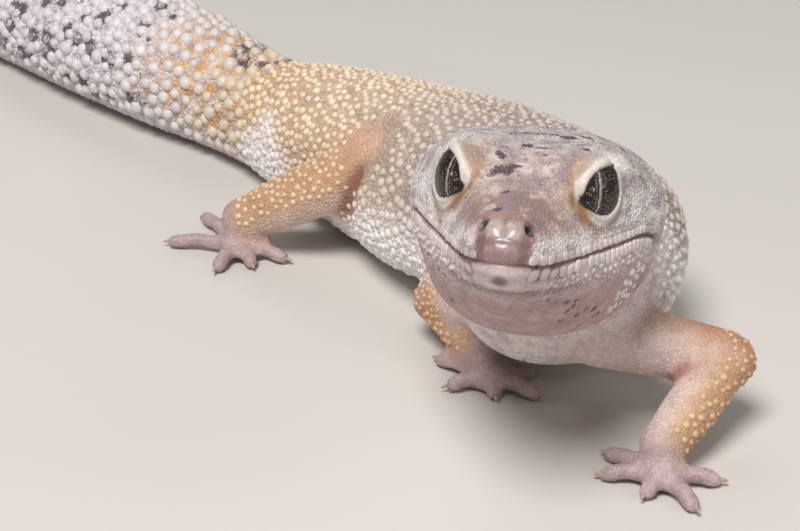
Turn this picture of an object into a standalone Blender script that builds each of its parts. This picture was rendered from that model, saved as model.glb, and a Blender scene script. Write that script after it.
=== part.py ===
"""A leopard gecko at life size, as a still museum model.

The animal walks towards -Y with its head raised and turned to its own right, its belly and
tail laid on the floor at z = 0. Its left side is +X. One loft along the spine gives head,
neck, trunk and tail, which thin gaps part into named lengths. Each leg has two
straight lengths, and a hand or foot that joins a palm, a wrist and five toes. Sizes are in
millimetres, and MM turns them to metres where a mesh is made.
"""

import math
from collections import namedtuple
from itertools import product

import bmesh
import bpy
import numpy as np
from mathutils import Matrix, Vector

MM = 0.001
GAP = 0.3  # between pieces that touch
BODY_SIDES = 20
LEG_SIDES = 9
TOE_SIDES = 6
FINE = (12, 8)  # segments and rings of a ball
COARSE = (8, 5)
WORLD = (Vector((1, 0, 0)), Vector((0, 1, 0)), Vector((0, 0, 1)))

# The head's own axes: it lies along a line from the front of the mouth, which is turned from
# -Y towards the animal's right, raised at the snout and rolled a little.
MOUTH_FRONT = Vector((-26.3, -64.0, 33.0))
HEAD_TURN = math.radians(34.7)
HEAD_RISE = math.radians(19.8)
HEAD_ROLL = math.radians(-1.8)
HEAD_LENGTH = 31.0

# Sections of the head, by the distance behind the front of the mouth: half width, level of
# the widest line, crown and throat levels over the mouth's front, and squareness above.
HeadSection = namedtuple("HeadSection", "back half_width level crown throat power")
HEAD = (
    HeadSection(0.0, 1.6, 0.6, 2.0, -1.2, 2.4),
    HeadSection(0.5, 2.4, 0.7, 3.0, -1.8, 2.4),
    HeadSection(1.6, 3.2, 0.8, 4.0, -2.4, 2.2),
    HeadSection(4.0, 4.4, 0.8, 5.2, -3.3, 2.0),
    HeadSection(8.0, 6.2, 1.0, 6.9, -5.2, 2.1),
    HeadSection(11.0, 7.8, 1.4, 8.5, -6.5, 2.5),
    HeadSection(14.0, 9.6, 2.0, 9.7, -7.6, 3.1),
    HeadSection(17.0, 11.3, 2.6, 10.8, -8.5, 2.9),
    HeadSection(20.0, 12.6, 3.2, 11.6, -8.9, 2.6),
    HeadSection(24.0, 13.1, 3.4, 12.0, -9.2, 2.5),
    HeadSection(28.0, 12.1, 2.6, 11.6, -9.3, 2.3),
    HeadSection(31.0, 10.8, 1.8, 10.9, -9.3, 2.15),
)
# Brows that stand up over each eye, and the hollow under the mouth's corner: back, left and up
# from the mouth's front.
Brow = namedtuple("Brow", "at push spread")
BROWS = (
    Brow(Vector((11.2, 5.2, 7.6)), Vector((-0.2, 0.2, 2.1)), 2.8),
    Brow(Vector((14.8, 8.0, 9.0)), Vector((0.0, 0.6, 1.9)), 2.9),
    Brow(Vector((20.5, 12.0, -2.6)), Vector((0.0, -1.1, 0.3)), 4.2),
)

# Mouth line: level by distance back. Behind its corner the jaw ends on a slant.
MOUTH_BACKS = (-3.0, 3.0, 8.0, 13.0, 17.5, 21.0)
MOUTH_LEVELS = (-0.1, -0.1, 0.5, 1.6, 2.6, 2.3)
JAW_HEEL = (24.5, -14.0)

EYE_AT = Vector((13.3, 5.9, 6.4))
EYE_RADIUS = 3.2
EYE_LOOK = Vector((-0.51, 0.857, 0.066)).normalized()
# The flesh round an eyeball: distance along its look from the ball's centre, and radius.
ORBIT = ((-2.0, 3.2), (0.2, 4.0), (1.4, 3.85), (2.0, 3.5), (2.4, 2.9))
ORBIT_SIDES = 12
NOSTRIL_AT = Vector((1.7, 2.5, 3.5))
NOSTRIL_RADIUS = 0.5
EAR_AT = Vector((27.0, 11.9, 3.6))
EAR_SIZE = Vector((1.0, 1.6, 1.7))

# Sections of neck, trunk and tail, front to back: centre, half width, heights over and
# under the centre. What would reach below the floor lies flat on it.
BodySection = namedtuple("BodySection", "x y z half_width above below")
BODY = (
    BodySection(-7.2, -37.4, 18.8, 10.8, 9.4, 11.2),
    BodySection(-2.8, -32.6, 14.4, 13.0, 10.6, 10.4),
    BodySection(2.0, -23.5, 13.2, 14.4, 11.0, 9.4),
    BodySection(1.2, -11.0, 11.8, 14.6, 12.0, 9.6),
    BodySection(-0.2, 0.0, 10.4, 14.2, 12.4, 10.4),
    BodySection(-1.8, 10.0, 9.3, 12.6, 12.0, 10.0),
    BodySection(-4.2, 20.0, 8.8, 11.4, 11.2, 9.5),
    BodySection(-6.6, 29.0, 8.4, 10.2, 10.2, 9.1),
    BodySection(-8.8, 37.0, 7.9, 8.6, 9.0, 8.5),
    BodySection(-10.4, 43.5, 7.4, 7.4, 8.2, 7.8),
    BodySection(-12.8, 51.5, 7.6, 8.0, 8.6, 8.0),
    BodySection(-16.4, 61.0, 8.4, 9.2, 9.6, 8.9),
    BodySection(-20.2, 71.0, 8.9, 9.6, 9.8, 9.4),
    BodySection(-24.3, 82.0, 8.6, 9.2, 9.2, 9.2),
    BodySection(-29.0, 94.0, 7.6, 7.9, 7.8, 8.1),
    BodySection(-33.8, 106.0, 6.0, 6.2, 6.0, 6.4),
    BodySection(-38.6, 117.5, 4.0, 4.1, 3.9, 4.3),
    BodySection(-42.0, 125.5, 2.0, 2.0, 1.9, 2.2),
    BodySection(-43.3, 128.4, 1.0, 0.6, 0.6, 0.8),
)
BODY_POWER = 2.15
RING_STEP = 4.3  # along neck, trunk and tail
HEAD_RING_RUNS = ((0.0, 1.0, 2), (1.0, 9.0, 5), (9.0, 17.0, 5), (17.0, 31.0, 5))  # from, to, rings

# Ends of the named lengths, as whole numbers of sections of BODY (0 is the neck's middle).
LENGTHS = (
    ("neck", 1.0),
    ("trunk_front", 3.4),
    ("trunk_middle", 5.8),
    ("trunk_rear", 8.4),
    ("tail_base", 10.6),
    ("tail_front", 12.6),
    ("tail_middle", 14.6),
    ("tail_tip", 18.0),
)

# Legs: names of the three lengths, root, joint and ankle, the radii at the root, half way, at
# the joint, half way and at the ankle, the middle of the palm and the tips of the claws.
Leg = namedtuple("Leg", "upper lower foot root joint ankle radii palm claws")
LEGS = (
    Leg("upper_arm_left", "forearm_left", "hand_left",
        (-3.4, -40.6, 11.2), (8.3, -48.7, 8.9), (-2.5, -54.4, 4.0),
        (4.3, 3.8, 3.4, 3.1, 2.5), (-3.0, -55.6),
        ((-6.2, -48.0), (-9.2, -52.0), (-7.1, -58.4), (-2.8, -62.9), (3.1, -58.8))),
    Leg("upper_arm_right", "forearm_right", "hand_right",
        (-9.5, -29.5, 11.5), (-11.6, -17.2, 5.6), (-10.2, -27.0, 3.4),
        (3.9, 3.4, 2.9, 2.6, 2.2), (-10.4, -29.5),
        ((-13.9, -21.5), (-16.1, -28.9), (-11.5, -34.0), (-6.2, -35.8), (-3.9, -30.0))),
    Leg("thigh_right", "shank_right", "foot_right",
        (-10.8, 22.4, 10.5), (-8.9, 3.0, 15.4), (-23.6, 16.6, 4.4),
        (5.6, 5.2, 4.2, 4.0, 3.0), (-24.8, 16.0),
        ((-25.7, 28.2), (-33.2, 21.7), (-30.0, 10.1), (-24.8, 9.2), (-19.6, 9.4))),
    Leg("thigh_left", "shank_left", "foot_left",
        (0.6, 28.6, 9.5), (13.0, 20.5, 8.6), (15.5, 36.0, 4.4),
        (5.6, 5.0, 4.0, 3.6, 2.7), (16.4, 38.0),
        ((8.6, 41.4), (13.4, 46.8), (20.4, 46.2), (25.0, 40.4), (23.4, 33.8))),
)
LEG_RINGS = 3
JOINT_WAIST = 0.85
LEG_END_ANGLES = (math.radians(35), math.radians(68))  # rings that round off a length
PALM_RADIUS = 2.7
PALM_HEIGHT = 1.9
TOE_START = 0.3  # of the way from the palm's middle to the knuckle
TOE_RADIUS = 1.0
TOE_GIRTHS = (1.2, 1.0, 1.0, 0.6)  # at the palm, the knuckle, the pad and the blunt end
TOE_PAD = 0.6  # from the pad's middle to the blunt end
TOE_RINGS = 4
CLAW_LENGTH = 0.8
CLAW_RADIUS = 0.3
SOLE_SINK = 0.25  # how far soft soles are pressed flat

COLOURS = {
    "head": (0.42, 0.36, 0.37), "lower_jaw": (0.60, 0.47, 0.46), "eye": (0.02, 0.015, 0.015),
    "neck": (0.55, 0.45, 0.40), "trunk": (0.62, 0.50, 0.40), "tail": (0.66, 0.62, 0.62),
    "upper_arm": (0.62, 0.44, 0.34), "forearm": (0.62, 0.42, 0.30), "hand": (0.55, 0.43, 0.45),
    "thigh": (0.62, 0.44, 0.31), "shank": (0.62, 0.43, 0.29), "foot": (0.55, 0.43, 0.45),
    "claw": (0.50, 0.42, 0.40),
}

# ---- Axes and curves --------------------------------------------------------------------


def head_axes():
    """Forward, left and up of the head, as unit vectors."""
    forward = Vector((
        -math.sin(HEAD_TURN) * math.cos(HEAD_RISE),
        -math.cos(HEAD_TURN) * math.cos(HEAD_RISE),
        math.sin(HEAD_RISE),
    ))
    level = Vector((0, 0, 1)).cross(forward).normalized()
    roll = Matrix.Rotation(HEAD_ROLL, 3, forward)
    left = roll @ level
    return forward, left, forward.cross(left)


FORWARD, LEFT, UP = head_axes()


def head_point(back, left, up):
    """A place in the head's own axes, in the whole model's."""
    return MOUTH_FRONT - FORWARD * back + LEFT * left + UP * up


def head_way(way):
    return -FORWARD * way[0] + LEFT * way[1] + UP * way[2]


def mirrored(way, side):
    return Vector((way[0], way[1] * side, way[2]))


def smooth(keys, values, at):
    """A cubic curve through the values at the keys, read at one place."""
    keys = np.asarray(keys, float)
    values = np.asarray(values, float)
    slopes = np.gradient(values, keys, axis=0)
    i = int(np.clip(np.searchsorted(keys, at) - 1, 0, len(keys) - 2))
    span = keys[i + 1] - keys[i]
    t = min(max((at - keys[i]) / span, 0.0), 1.0)
    start, end = values[i], values[i + 1]
    return (
        (2 * t**3 - 3 * t**2 + 1) * start
        + (t**3 - 2 * t**2 + t) * span * slopes[i]
        + (3 * t**2 - 2 * t**3) * end
        + (t**3 - t**2) * span * slopes[i + 1]
    )


# ---- Sections ---------------------------------------------------------------------------

Section = namedtuple("Section", "centre side up half_width above below power")


def ring_points(section, sides):
    """Points round a section: a superellipse with its own heights above and below."""
    points = []
    for step in range(sides):
        angle = math.tau * (step + 0.5) / sides
        across, rise = math.cos(angle), math.sin(angle)
        power = section.power if rise > 0 else BODY_POWER
        wide = math.copysign(abs(across) ** (2 / power), across) * section.half_width
        height = section.above if rise > 0 else section.below
        tall = math.copysign(abs(rise) ** (2 / power), rise) * height
        points.append(pressed(section.centre + section.side * wide + section.up * tall))
    return points


def pressed(point):
    """Soft flesh that would reach under the floor lies flat on it."""
    return Vector((point.x, point.y, max(point.z, 0.0)))


def head_section(back):
    half_width, level, crown, throat, power = smooth(
        [s.back for s in HEAD], [s[1:] for s in HEAD], back
    )
    centre = head_point(back, 0, level)
    return Section(centre, LEFT, UP, half_width, crown - level, level - throat, power)


def body_keys():
    """Every section of the body behind the head, the head's last two first."""
    rows = []
    for back in (HEAD_LENGTH - 5.0, HEAD_LENGTH):
        s = head_section(back)
        rows.append((*s.centre, s.half_width, s.above, s.below))
    return rows + [tuple(s) for s in BODY]


BODY_KEYS = body_keys()
HEAD_REAR = -1.0  # the head's last section, on the scale where BODY[0] is 0
SHOULDERS = 2.0


def body_row(place):
    return smooth(range(-2, len(BODY)), BODY_KEYS, place)


def spine_run(place):
    """The way the spine runs at a place; the neck's sections turn evenly from the head's."""
    small = 0.02
    settled = max(place, SHOULDERS)
    run = Vector(body_row(settled + small)[:3]) - Vector(body_row(settled - small)[:3])
    return (run.normalized() * (1 - headward(place)) - FORWARD * headward(place)).normalized()


def headward(place):
    """1 where the neck meets the head, falling to 0 at the shoulders."""
    return max(0.0, (SHOULDERS - place) / (SHOULDERS - HEAD_REAR))


def body_section(place):
    """A section of neck, trunk or tail, square to the way the spine runs."""
    row = body_row(place)
    run = spine_run(place)
    side = run.cross(Vector((0, 0, 1))).normalized()
    side = Matrix.Rotation(-HEAD_ROLL * headward(place), 3, run) @ side
    return Section(Vector(row[:3]), side, side.cross(run), *row[3:6], BODY_POWER)


# ---- Meshes -----------------------------------------------------------------------------


def face_outwards(bm):
    bmesh.ops.triangulate(bm, faces=bm.faces)
    bmesh.ops.recalc_face_normals(bm, faces=bm.faces)
    if bm.calc_volume(signed=True) < 0:
        bmesh.ops.reverse_faces(bm, faces=bm.faces)


def new_object(name, bm):
    face_outwards(bm)
    for vert in bm.verts:
        vert.co *= MM
    mesh = bpy.data.meshes.new(name)
    bm.to_mesh(mesh)
    bm.free()
    made = bpy.data.objects.new(name, mesh)
    PARTS.objects.link(made)
    return made


def loft(name, rings):
    """A closed skin over rings of points, with a fan over each end."""
    bm = bmesh.new()
    rows = [[bm.verts.new(p) for p in ring] for ring in rings]
    for row, after in zip(rows, rows[1:]):
        for i in range(len(row)):
            j = (i + 1) % len(row)
            bm.faces.new((row[i], row[j], after[j], after[i]))
    for row in (rows[0], rows[-1]):
        middle = bm.verts.new(sum((v.co for v in row), Vector()) / len(row))
        for i in range(len(row)):
            bm.faces.new((row[i], row[(i + 1) % len(row)], middle))
    return new_object(name, bm)


def ball(name, centre, radii, axes, fineness):
    """An ellipsoid with its radii along the three axes given."""
    bm = bmesh.new()
    segments, rings = fineness
    bmesh.ops.create_uvsphere(bm, u_segments=segments, v_segments=rings, radius=1.0)
    for vert in bm.verts:
        way = vert.co.copy()
        vert.co = pressed(centre + sum((a * r * w for a, r, w in zip(axes, radii, way)), Vector()))
    return new_object(name, bm)


def boolean(target, tool, operation):
    """Cuts or joins target with tool, which is used up."""
    modifier = target.modifiers.new(operation.lower(), "BOOLEAN")
    modifier.operation = operation
    modifier.object = tool
    modifier.solver = "EXACT"
    bpy.context.view_layer.update()
    seen = target.evaluated_get(bpy.context.evaluated_depsgraph_get())
    mesh = bpy.data.meshes.new_from_object(seen)
    target.modifiers.clear()
    target.data = mesh
    bpy.data.objects.remove(tool)
    clean(mesh)


def clean(mesh):
    """Removes the slivers that a cut leaves, and points all faces outwards."""
    bm = bmesh.new()
    bm.from_mesh(mesh)
    bmesh.ops.remove_doubles(bm, verts=bm.verts, dist=0.004 * MM)
    bmesh.ops.dissolve_degenerate(bm, edges=bm.edges, dist=0.002 * MM)
    face_outwards(bm)
    bm.to_mesh(mesh)
    bm.free()


# ---- Head -------------------------------------------------------------------------------


def with_brows(point):
    """Raises the brows over the eyes, on a point of the head's loft."""
    from_front = point - MOUTH_FRONT
    place = Vector((-from_front.dot(FORWARD), from_front.dot(LEFT), from_front.dot(UP)))
    for brow, side in product(BROWS, (-1, 1)):
        distance = (place - mirrored(brow.at, side)).length
        strength = math.exp(-((distance / brow.spread) ** 2))
        point = point + head_way(mirrored(brow.push, side)) * strength
    return point


def whole_head(name):
    backs = [0.0]
    for start, end, count in HEAD_RING_RUNS:
        backs += [start + (end - start) * i / count for i in range(1, count + 1)]
    backs[-1] -= GAP / 2
    rings = [ring_points(head_section(back), BODY_SIDES) for back in backs]
    return loft(name, [[with_brows(p) for p in ring] for ring in rings])


def jaw_block(grow):
    """The space that holds the lower jaw: under the mouth line, in front of the jaw's heel."""
    count = 14
    line = []
    for i in range(count + 1):
        back = MOUTH_BACKS[0] + (MOUTH_BACKS[-1] - MOUTH_BACKS[0]) * i / count
        line.append((back, float(smooth(MOUTH_BACKS, MOUTH_LEVELS, back)) + grow))
    line[-1] = (line[-1][0] + grow, line[-1][1])
    line += [(JAW_HEEL[0] + grow, JAW_HEEL[1]), (MOUTH_BACKS[0], JAW_HEEL[1])]
    bm = bmesh.new()
    half = 20.0
    ends = [[bm.verts.new(head_point(b, side * half, u)) for b, u in line] for side in (-1, 1)]
    bm.faces.new(ends[0])
    bm.faces.new(ends[1])
    for i in range(len(line)):
        j = (i + 1) % len(line)
        bm.faces.new((ends[0][i], ends[0][j], ends[1][j], ends[1][i]))
    return new_object("jaw_block", bm)


def eye_axes(side):
    look = head_way(mirrored(EYE_LOOK, side))
    across = look.cross(UP).normalized()
    return across, across.cross(look), look


def orbit(side):
    """The flesh round an eyeball, up to the thick rim of the lids."""
    across, rise, look = eye_axes(side)
    centre = head_point(*mirrored(EYE_AT, side))
    rings = []
    for depth, radius in ORBIT:
        section = Section(centre + look * depth, across, rise, radius, radius, radius, 2.0)
        rings.append(ring_points(section, ORBIT_SIDES))
    return loft("orbit", rings)


def eyeball(name, side, grow=0.0):
    centre = head_point(*mirrored(EYE_AT, side))
    return ball(name, centre, (EYE_RADIUS + grow,) * 3, eye_axes(side), FINE)


def make_head():
    head = whole_head("head")
    jaw = whole_head("lower_jaw")
    boolean(head, jaw_block(GAP / 2), "DIFFERENCE")
    boolean(jaw, jaw_block(-GAP / 2), "INTERSECT")
    for side in (-1, 1):
        boolean(head, orbit(side), "UNION")
        boolean(head, eyeball("socket", side, GAP), "DIFFERENCE")
        for at, size in ((NOSTRIL_AT, (NOSTRIL_RADIUS,) * 3), (EAR_AT, EAR_SIZE)):
            hole = ball("hole", head_point(*mirrored(at, side)), size, (FORWARD, LEFT, UP), COARSE)
            boolean(head, hole, "DIFFERENCE")
    eyeball("eye_right", -1)
    eyeball("eye_left", 1)


# ---- Neck, trunk and tail ---------------------------------------------------------------


def make_lengths():
    """The named lengths behind the head, each with a thin gap to the next."""
    start = HEAD_REAR
    made = []
    for name, end in LENGTHS:
        run = (Vector(body_row(end)[:3]) - Vector(body_row(start)[:3])).length
        count = max(3, math.ceil(run / RING_STEP))
        inset = GAP / 2 * (end - start) / run
        first, last = start + inset, end - (inset if end < LENGTHS[-1][1] else 0)
        places = [first + (last - first) * i / count for i in range(count + 1)]
        piece = loft(name, [ring_points(body_section(p), BODY_SIDES) for p in places])
        made.append(piece)
        start = end
    return made


# ---- Legs -------------------------------------------------------------------------------


def round_section(at, run, radius):
    side = run.cross(Vector((0, 0, 1))).normalized()
    return Section(at, side, side.cross(run), radius, radius, radius, 2.0)


def limb(name, start, end, radii, grow, far_angles):
    """One length of a leg: a straight muscle of three radii, rounded where it starts and,
    if there are far angles, where it ends."""
    start, end = Vector(start), Vector(end)
    run = (end - start).normalized()
    first, last = radii[0] + grow, radii[-1] + grow
    if not far_angles:
        end = end + run * grow
    line = [
        (start - run * first * math.sin(angle), first * math.cos(angle))
        for angle in reversed(LEG_END_ANGLES)
    ]
    for i in range(LEG_RINGS + 1):
        t = i / LEG_RINGS
        line.append((start.lerp(end, t), float(smooth((0.0, 0.5, 1.0), radii, t)) + grow))
    for angle in far_angles:
        line.append((end + run * last * math.sin(angle), last * math.cos(angle)))
    sections = [round_section(at, run, radius) for at, radius in line]
    return loft(name, [ring_points(section, LEG_SIDES) for section in sections])


def upper_limb(leg, name, grow=0.0):
    return limb(name, leg.root, leg.joint, leg.radii[:3], grow, LEG_END_ANGLES)


def lower_limb(leg, name, grow=0.0):
    """The lower length: its start is narrow enough to be lost in the joint's round end, and
    it ends flat at the wrist."""
    _, _, joint, half_way, ankle = leg.radii
    return limb(name, leg.joint, leg.ankle, (joint * JOINT_WAIST, half_way, ankle), grow, ())


def make_leg(leg):
    """Both lengths, the lower one cut free of the joint's round end."""
    upper_limb(leg, leg.upper)
    lower = lower_limb(leg, leg.lower)
    boolean(lower, upper_limb(leg, "joint_cutter", GAP), "DIFFERENCE")


def cut_bed(trunk_pieces, leg):
    """Room in the trunk for a leg that is drawn in against it."""
    for piece, length in product(trunk_pieces, (upper_limb, lower_limb)):
        boolean(piece, length(leg, "bed", GAP), "DIFFERENCE")


def tube_rings(points, radii, count, sides, start=0.0):
    """Rings along a smooth curve through a few points, of the radii given there."""
    keys = range(len(points))
    last = len(points) - 1
    rings = []
    for i in range(count + 1):
        place = start + (last - start) * i / count
        small = 0.01
        run = Vector(smooth(keys, points, min(place + small, last)))
        run -= Vector(smooth(keys, points, max(place - small, 0)))
        at = Vector(smooth(keys, points, place))
        radius = float(smooth(keys, radii, place))
        rings.append(ring_points(round_section(at, run.normalized(), radius), sides))
    return rings


def toe_line(palm, claw_tip):
    """A toe from inside the palm over a low knuckle to where its claw starts, and its radii."""
    start = Vector((*palm, PALM_HEIGHT * 0.5))
    end = Vector((*claw_tip, TOE_RADIUS - SOLE_SINK))
    way = (end - start).normalized()
    end -= way * CLAW_LENGTH
    knuckle = start.lerp(end, 0.6)
    knuckle.z = TOE_RADIUS + 0.5
    return [start, knuckle, end - way * TOE_PAD, end], [TOE_RADIUS * g for g in TOE_GIRTHS]


def toe_tube(points, radii):
    return loft("toe", tube_rings(points, radii, TOE_RINGS, TOE_SIDES, TOE_START))


def make_foot(leg):
    """A palm and a wrist with five toes joined to them, and a claw on each toe."""
    palm = Vector((*leg.palm, PALM_HEIGHT - SOLE_SINK))
    foot = ball(leg.foot, palm, (PALM_RADIUS, PALM_RADIUS, PALM_HEIGHT), WORLD, COARSE)
    wrist = ball("wrist", Vector(leg.ankle), (leg.radii[-1],) * 3, WORLD, FINE)
    boolean(foot, wrist, "UNION")
    for claw_tip in leg.claws:
        points, radii = toe_line(leg.palm, claw_tip)
        boolean(foot, toe_tube(points, radii), "UNION")
    boolean(foot, lower_limb(leg, "wrist_cutter", GAP), "DIFFERENCE")
    for number, claw_tip in enumerate(leg.claws, start=1):
        make_claw(leg, number, claw_tip)


def make_claw(leg, number, claw_tip):
    """A small curved claw that starts a gap past the toe's tip."""
    points, _ = toe_line(leg.palm, claw_tip)
    way = points[-1] - points[1]
    way.z = 0
    way.normalize()
    start = points[-1] + way * GAP + Vector((0, 0, 0.1))
    middle = start + way * CLAW_LENGTH * 0.5 + Vector((0, 0, 0.05))
    point = start + way * CLAW_LENGTH - Vector((0, 0, 0.15))
    girth = (CLAW_RADIUS, CLAW_RADIUS * 0.92, CLAW_RADIUS * 0.7)
    name = leg.foot.replace("_", f"_claw_{number}_")
    loft(name, tube_rings([start, middle, point], girth, 2, 4))


# ---- The whole --------------------------------------------------------------------------


def paint(part):
    kind = next((k for k in ("claw", *COLOURS) if k in part.name), "trunk")
    material = bpy.data.materials.new(part.name)
    material.use_nodes = True
    shader = material.node_tree.nodes["Principled BSDF"]
    shader.inputs["Base Color"].default_value = (*COLOURS[kind], 1.0)
    shader.inputs["Roughness"].default_value = 0.1 if kind == "eye" else 0.55
    shader.inputs["Metallic"].default_value = 0.0
    part.data.materials.clear()
    part.data.materials.append(material)


def centre_on_floor(parts):
    """Sets the origin under the middle of the whole model's box, at floor level."""
    points = np.array([v.co for part in parts for v in part.data.vertices])
    low, high = points.min(axis=0), points.max(axis=0)
    shift = Vector((-(low[0] + high[0]) / 2, -(low[1] + high[1]) / 2, 0))
    for part in parts:
        part.data.transform(Matrix.Translation(shift))


for old in list(bpy.data.objects):
    bpy.data.objects.remove(old)
PARTS = bpy.data.collections.new("leopard_gecko")
bpy.context.scene.collection.children.link(PARTS)

make_head()
lengths = make_lengths()
for one_leg in LEGS:
    make_leg(one_leg)
    make_foot(one_leg)
    cut_bed(lengths[:4], one_leg)
for made_part in PARTS.objects:
    paint(made_part)
    made_part.data.shade_smooth()
centre_on_floor(PARTS.objects)
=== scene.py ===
"""A leopard gecko at life size, as a still museum model.

The CAD solids give the body. Over them comes one skin without seams, with the lids, lips,
nostrils and folds modelled in it, and a coat of solid scales: fine granules everywhere,
round tubercles on back, flanks, legs and tail, and plates along the lips. Eyes and claws are
pieces of their own. Sizes are in millimetres until a mesh gets its points in set_points();
lamps, floor and the scales and depths in materials are in metres.
"""

import math
from collections import namedtuple

import bmesh
import bpy
import numpy as np
from mathutils import Matrix, Vector
from mathutils.bvhtree import BVHTree
from mathutils.kdtree import KDTree


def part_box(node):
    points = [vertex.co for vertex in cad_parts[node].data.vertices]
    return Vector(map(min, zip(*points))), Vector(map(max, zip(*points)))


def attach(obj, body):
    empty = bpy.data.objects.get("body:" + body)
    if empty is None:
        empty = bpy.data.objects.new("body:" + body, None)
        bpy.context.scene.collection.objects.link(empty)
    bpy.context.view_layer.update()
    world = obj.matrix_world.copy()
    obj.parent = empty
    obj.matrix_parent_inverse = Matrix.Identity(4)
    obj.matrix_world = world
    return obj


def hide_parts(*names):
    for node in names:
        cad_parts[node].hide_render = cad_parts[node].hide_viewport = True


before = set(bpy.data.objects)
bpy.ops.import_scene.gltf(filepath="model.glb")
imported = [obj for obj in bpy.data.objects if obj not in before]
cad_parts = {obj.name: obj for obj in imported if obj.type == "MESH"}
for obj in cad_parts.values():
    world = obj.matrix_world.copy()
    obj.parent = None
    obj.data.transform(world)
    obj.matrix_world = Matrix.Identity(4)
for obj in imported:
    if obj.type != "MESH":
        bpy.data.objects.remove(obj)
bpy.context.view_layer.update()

MM = 0.001
DICE = np.random.default_rng(11)

# ---- The head's axes --------------------------------------------------------------------
# The head is turned towards the animal's right, raised at the snout and rolled a little.

HEAD_TURN = math.radians(34.7)
HEAD_RISE = math.radians(19.8)
HEAD_ROLL = math.radians(-1.8)
EYE_BACK = 13.3  # of the eyeballs' centres behind the front of the mouth
EYE_UP = 6.4
EYE_RADIUS = 3.2
EYE_LOOK = np.array((-0.51, 0.857, 0.066))  # back, left, up


def head_axes():
    forward = Vector((
        -math.sin(HEAD_TURN) * math.cos(HEAD_RISE),
        -math.cos(HEAD_TURN) * math.cos(HEAD_RISE),
        math.sin(HEAD_RISE),
    ))
    level = Vector((0, 0, 1)).cross(forward).normalized()
    left = Matrix.Rotation(HEAD_ROLL, 3, forward) @ level
    return np.array(forward), np.array(left), np.array(forward.cross(left))


def node_middle(name):
    low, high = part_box(name)
    return (np.array(low) + np.array(high)) / 2 / MM


FORWARD, LEFT, UP = head_axes()
EYE_CENTRES = {1: node_middle("eye_left"), -1: node_middle("eye_right")}
MOUTH = (EYE_CENTRES[1] + EYE_CENTRES[-1]) / 2 + FORWARD * EYE_BACK - UP * EYE_UP


def to_head(points):
    """Back, left and up from the front of the mouth."""
    away = points - MOUTH
    return np.stack((-away @ FORWARD, away @ LEFT, away @ UP), axis=-1)


def from_head(places):
    places = np.asarray(places, float)
    return MOUTH - places[..., :1] * FORWARD + places[..., 1:2] * LEFT + places[..., 2:3] * UP


def unit(vectors):
    return vectors / np.maximum(np.linalg.norm(vectors, axis=-1, keepdims=True), 1e-9)


def curve(keys, values, at):
    """A cubic curve through the values at the keys."""
    keys, values = np.asarray(keys, float), np.asarray(values, float)
    slopes = np.gradient(values, keys)
    i = np.clip(np.searchsorted(keys, at) - 1, 0, len(keys) - 2)
    span = keys[i + 1] - keys[i]
    t = np.clip((at - keys[i]) / span, 0, 1)
    return (
        (2 * t**3 - 3 * t**2 + 1) * values[i]
        + (t**3 - 2 * t**2 + t) * span * slopes[i]
        + (3 * t**2 - 2 * t**3) * values[i + 1]
        + (t**3 - t**2) * span * slopes[i + 1]
    )


def bump(distance, width):
    return np.exp(-((distance / width) ** 2))


def step(value, start, end):
    """0 at start, 1 at end, smooth between."""
    t = np.clip((value - start) / (end - start), 0, 1)
    return t * t * (3 - 2 * t)


def mix(first, second, amount):
    return first + (second - first) * amount[:, None]


def plain(colour, points):
    """The same colour for each point."""
    return np.tile(colour, (len(points), 1))


def distances_along(points):
    """How far along a row of points each one lies."""
    return np.concatenate(((0.0,), np.cumsum(np.linalg.norm(np.diff(points, axis=0), axis=1))))


# ---- The spine --------------------------------------------------------------------------
# Places along the middle of neck, trunk and tail.

SPINE = np.array((
    (2.1, -69.3, 18.8), (6.5, -64.4, 14.4), (11.3, -55.4, 13.2), (10.5, -42.9, 11.8),
    (9.1, -31.9, 10.4), (7.5, -21.9, 9.3), (5.1, -11.9, 8.8), (2.7, -2.9, 8.4),
    (0.5, 5.1, 7.9), (-1.1, 11.6, 7.4), (-3.5, 19.6, 7.6), (-7.1, 29.1, 8.4),
    (-10.9, 39.1, 8.9), (-15.0, 50.1, 8.6), (-19.7, 62.1, 7.6), (-24.5, 74.1, 6.0),
    (-29.3, 85.6, 4.0), (-34.0, 96.5, 1.0),
))
VENT = 83.0  # along the spine, where the tail starts
SPINE_STEP = 0.5
BATCH = 20000  # points compared with the spine at once, which keeps the memory small


def fine_spine():
    along = distances_along(SPINE[:, :2])
    places = np.arange(0, along[-1], SPINE_STEP)
    line = np.stack([curve(along, SPINE[:, k], places) for k in range(3)], axis=1)
    return places, line, unit(np.gradient(line, axis=0))


SPINE_PLACES, SPINE_LINE, SPINE_RUN = fine_spine()


def to_body(points):
    """Distance along the spine, the way the spine runs there, how far up the side of the
    body each point is, -90 degrees at the belly, 0 at the flank and 90 along the back, and
    how far to the left of the spine."""
    nearest = np.empty(len(points), int)
    for start in range(0, len(points), BATCH):
        part = points[start:start + BATCH, None, :2] - SPINE_LINE[None, :, :2]
        nearest[start:start + BATCH] = (part**2).sum(axis=2).argmin(axis=1)
    run = SPINE_RUN[nearest]
    away = points - SPINE_LINE[nearest]
    side = away[:, 0] * -run[:, 1] + away[:, 1] * run[:, 0]
    height = np.degrees(np.arctan2(away[:, 2], np.abs(side)))
    return SPINE_PLACES[nearest], run, height, side


# ---- Meshes -----------------------------------------------------------------------------


def new_object(name, data):
    made = bpy.data.objects.new(name, data)
    bpy.context.scene.collection.objects.link(made)
    return made


def set_points(mesh, points):
    mesh.vertices.foreach_set("co", (points * MM).astype(np.float32).ravel())


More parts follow.
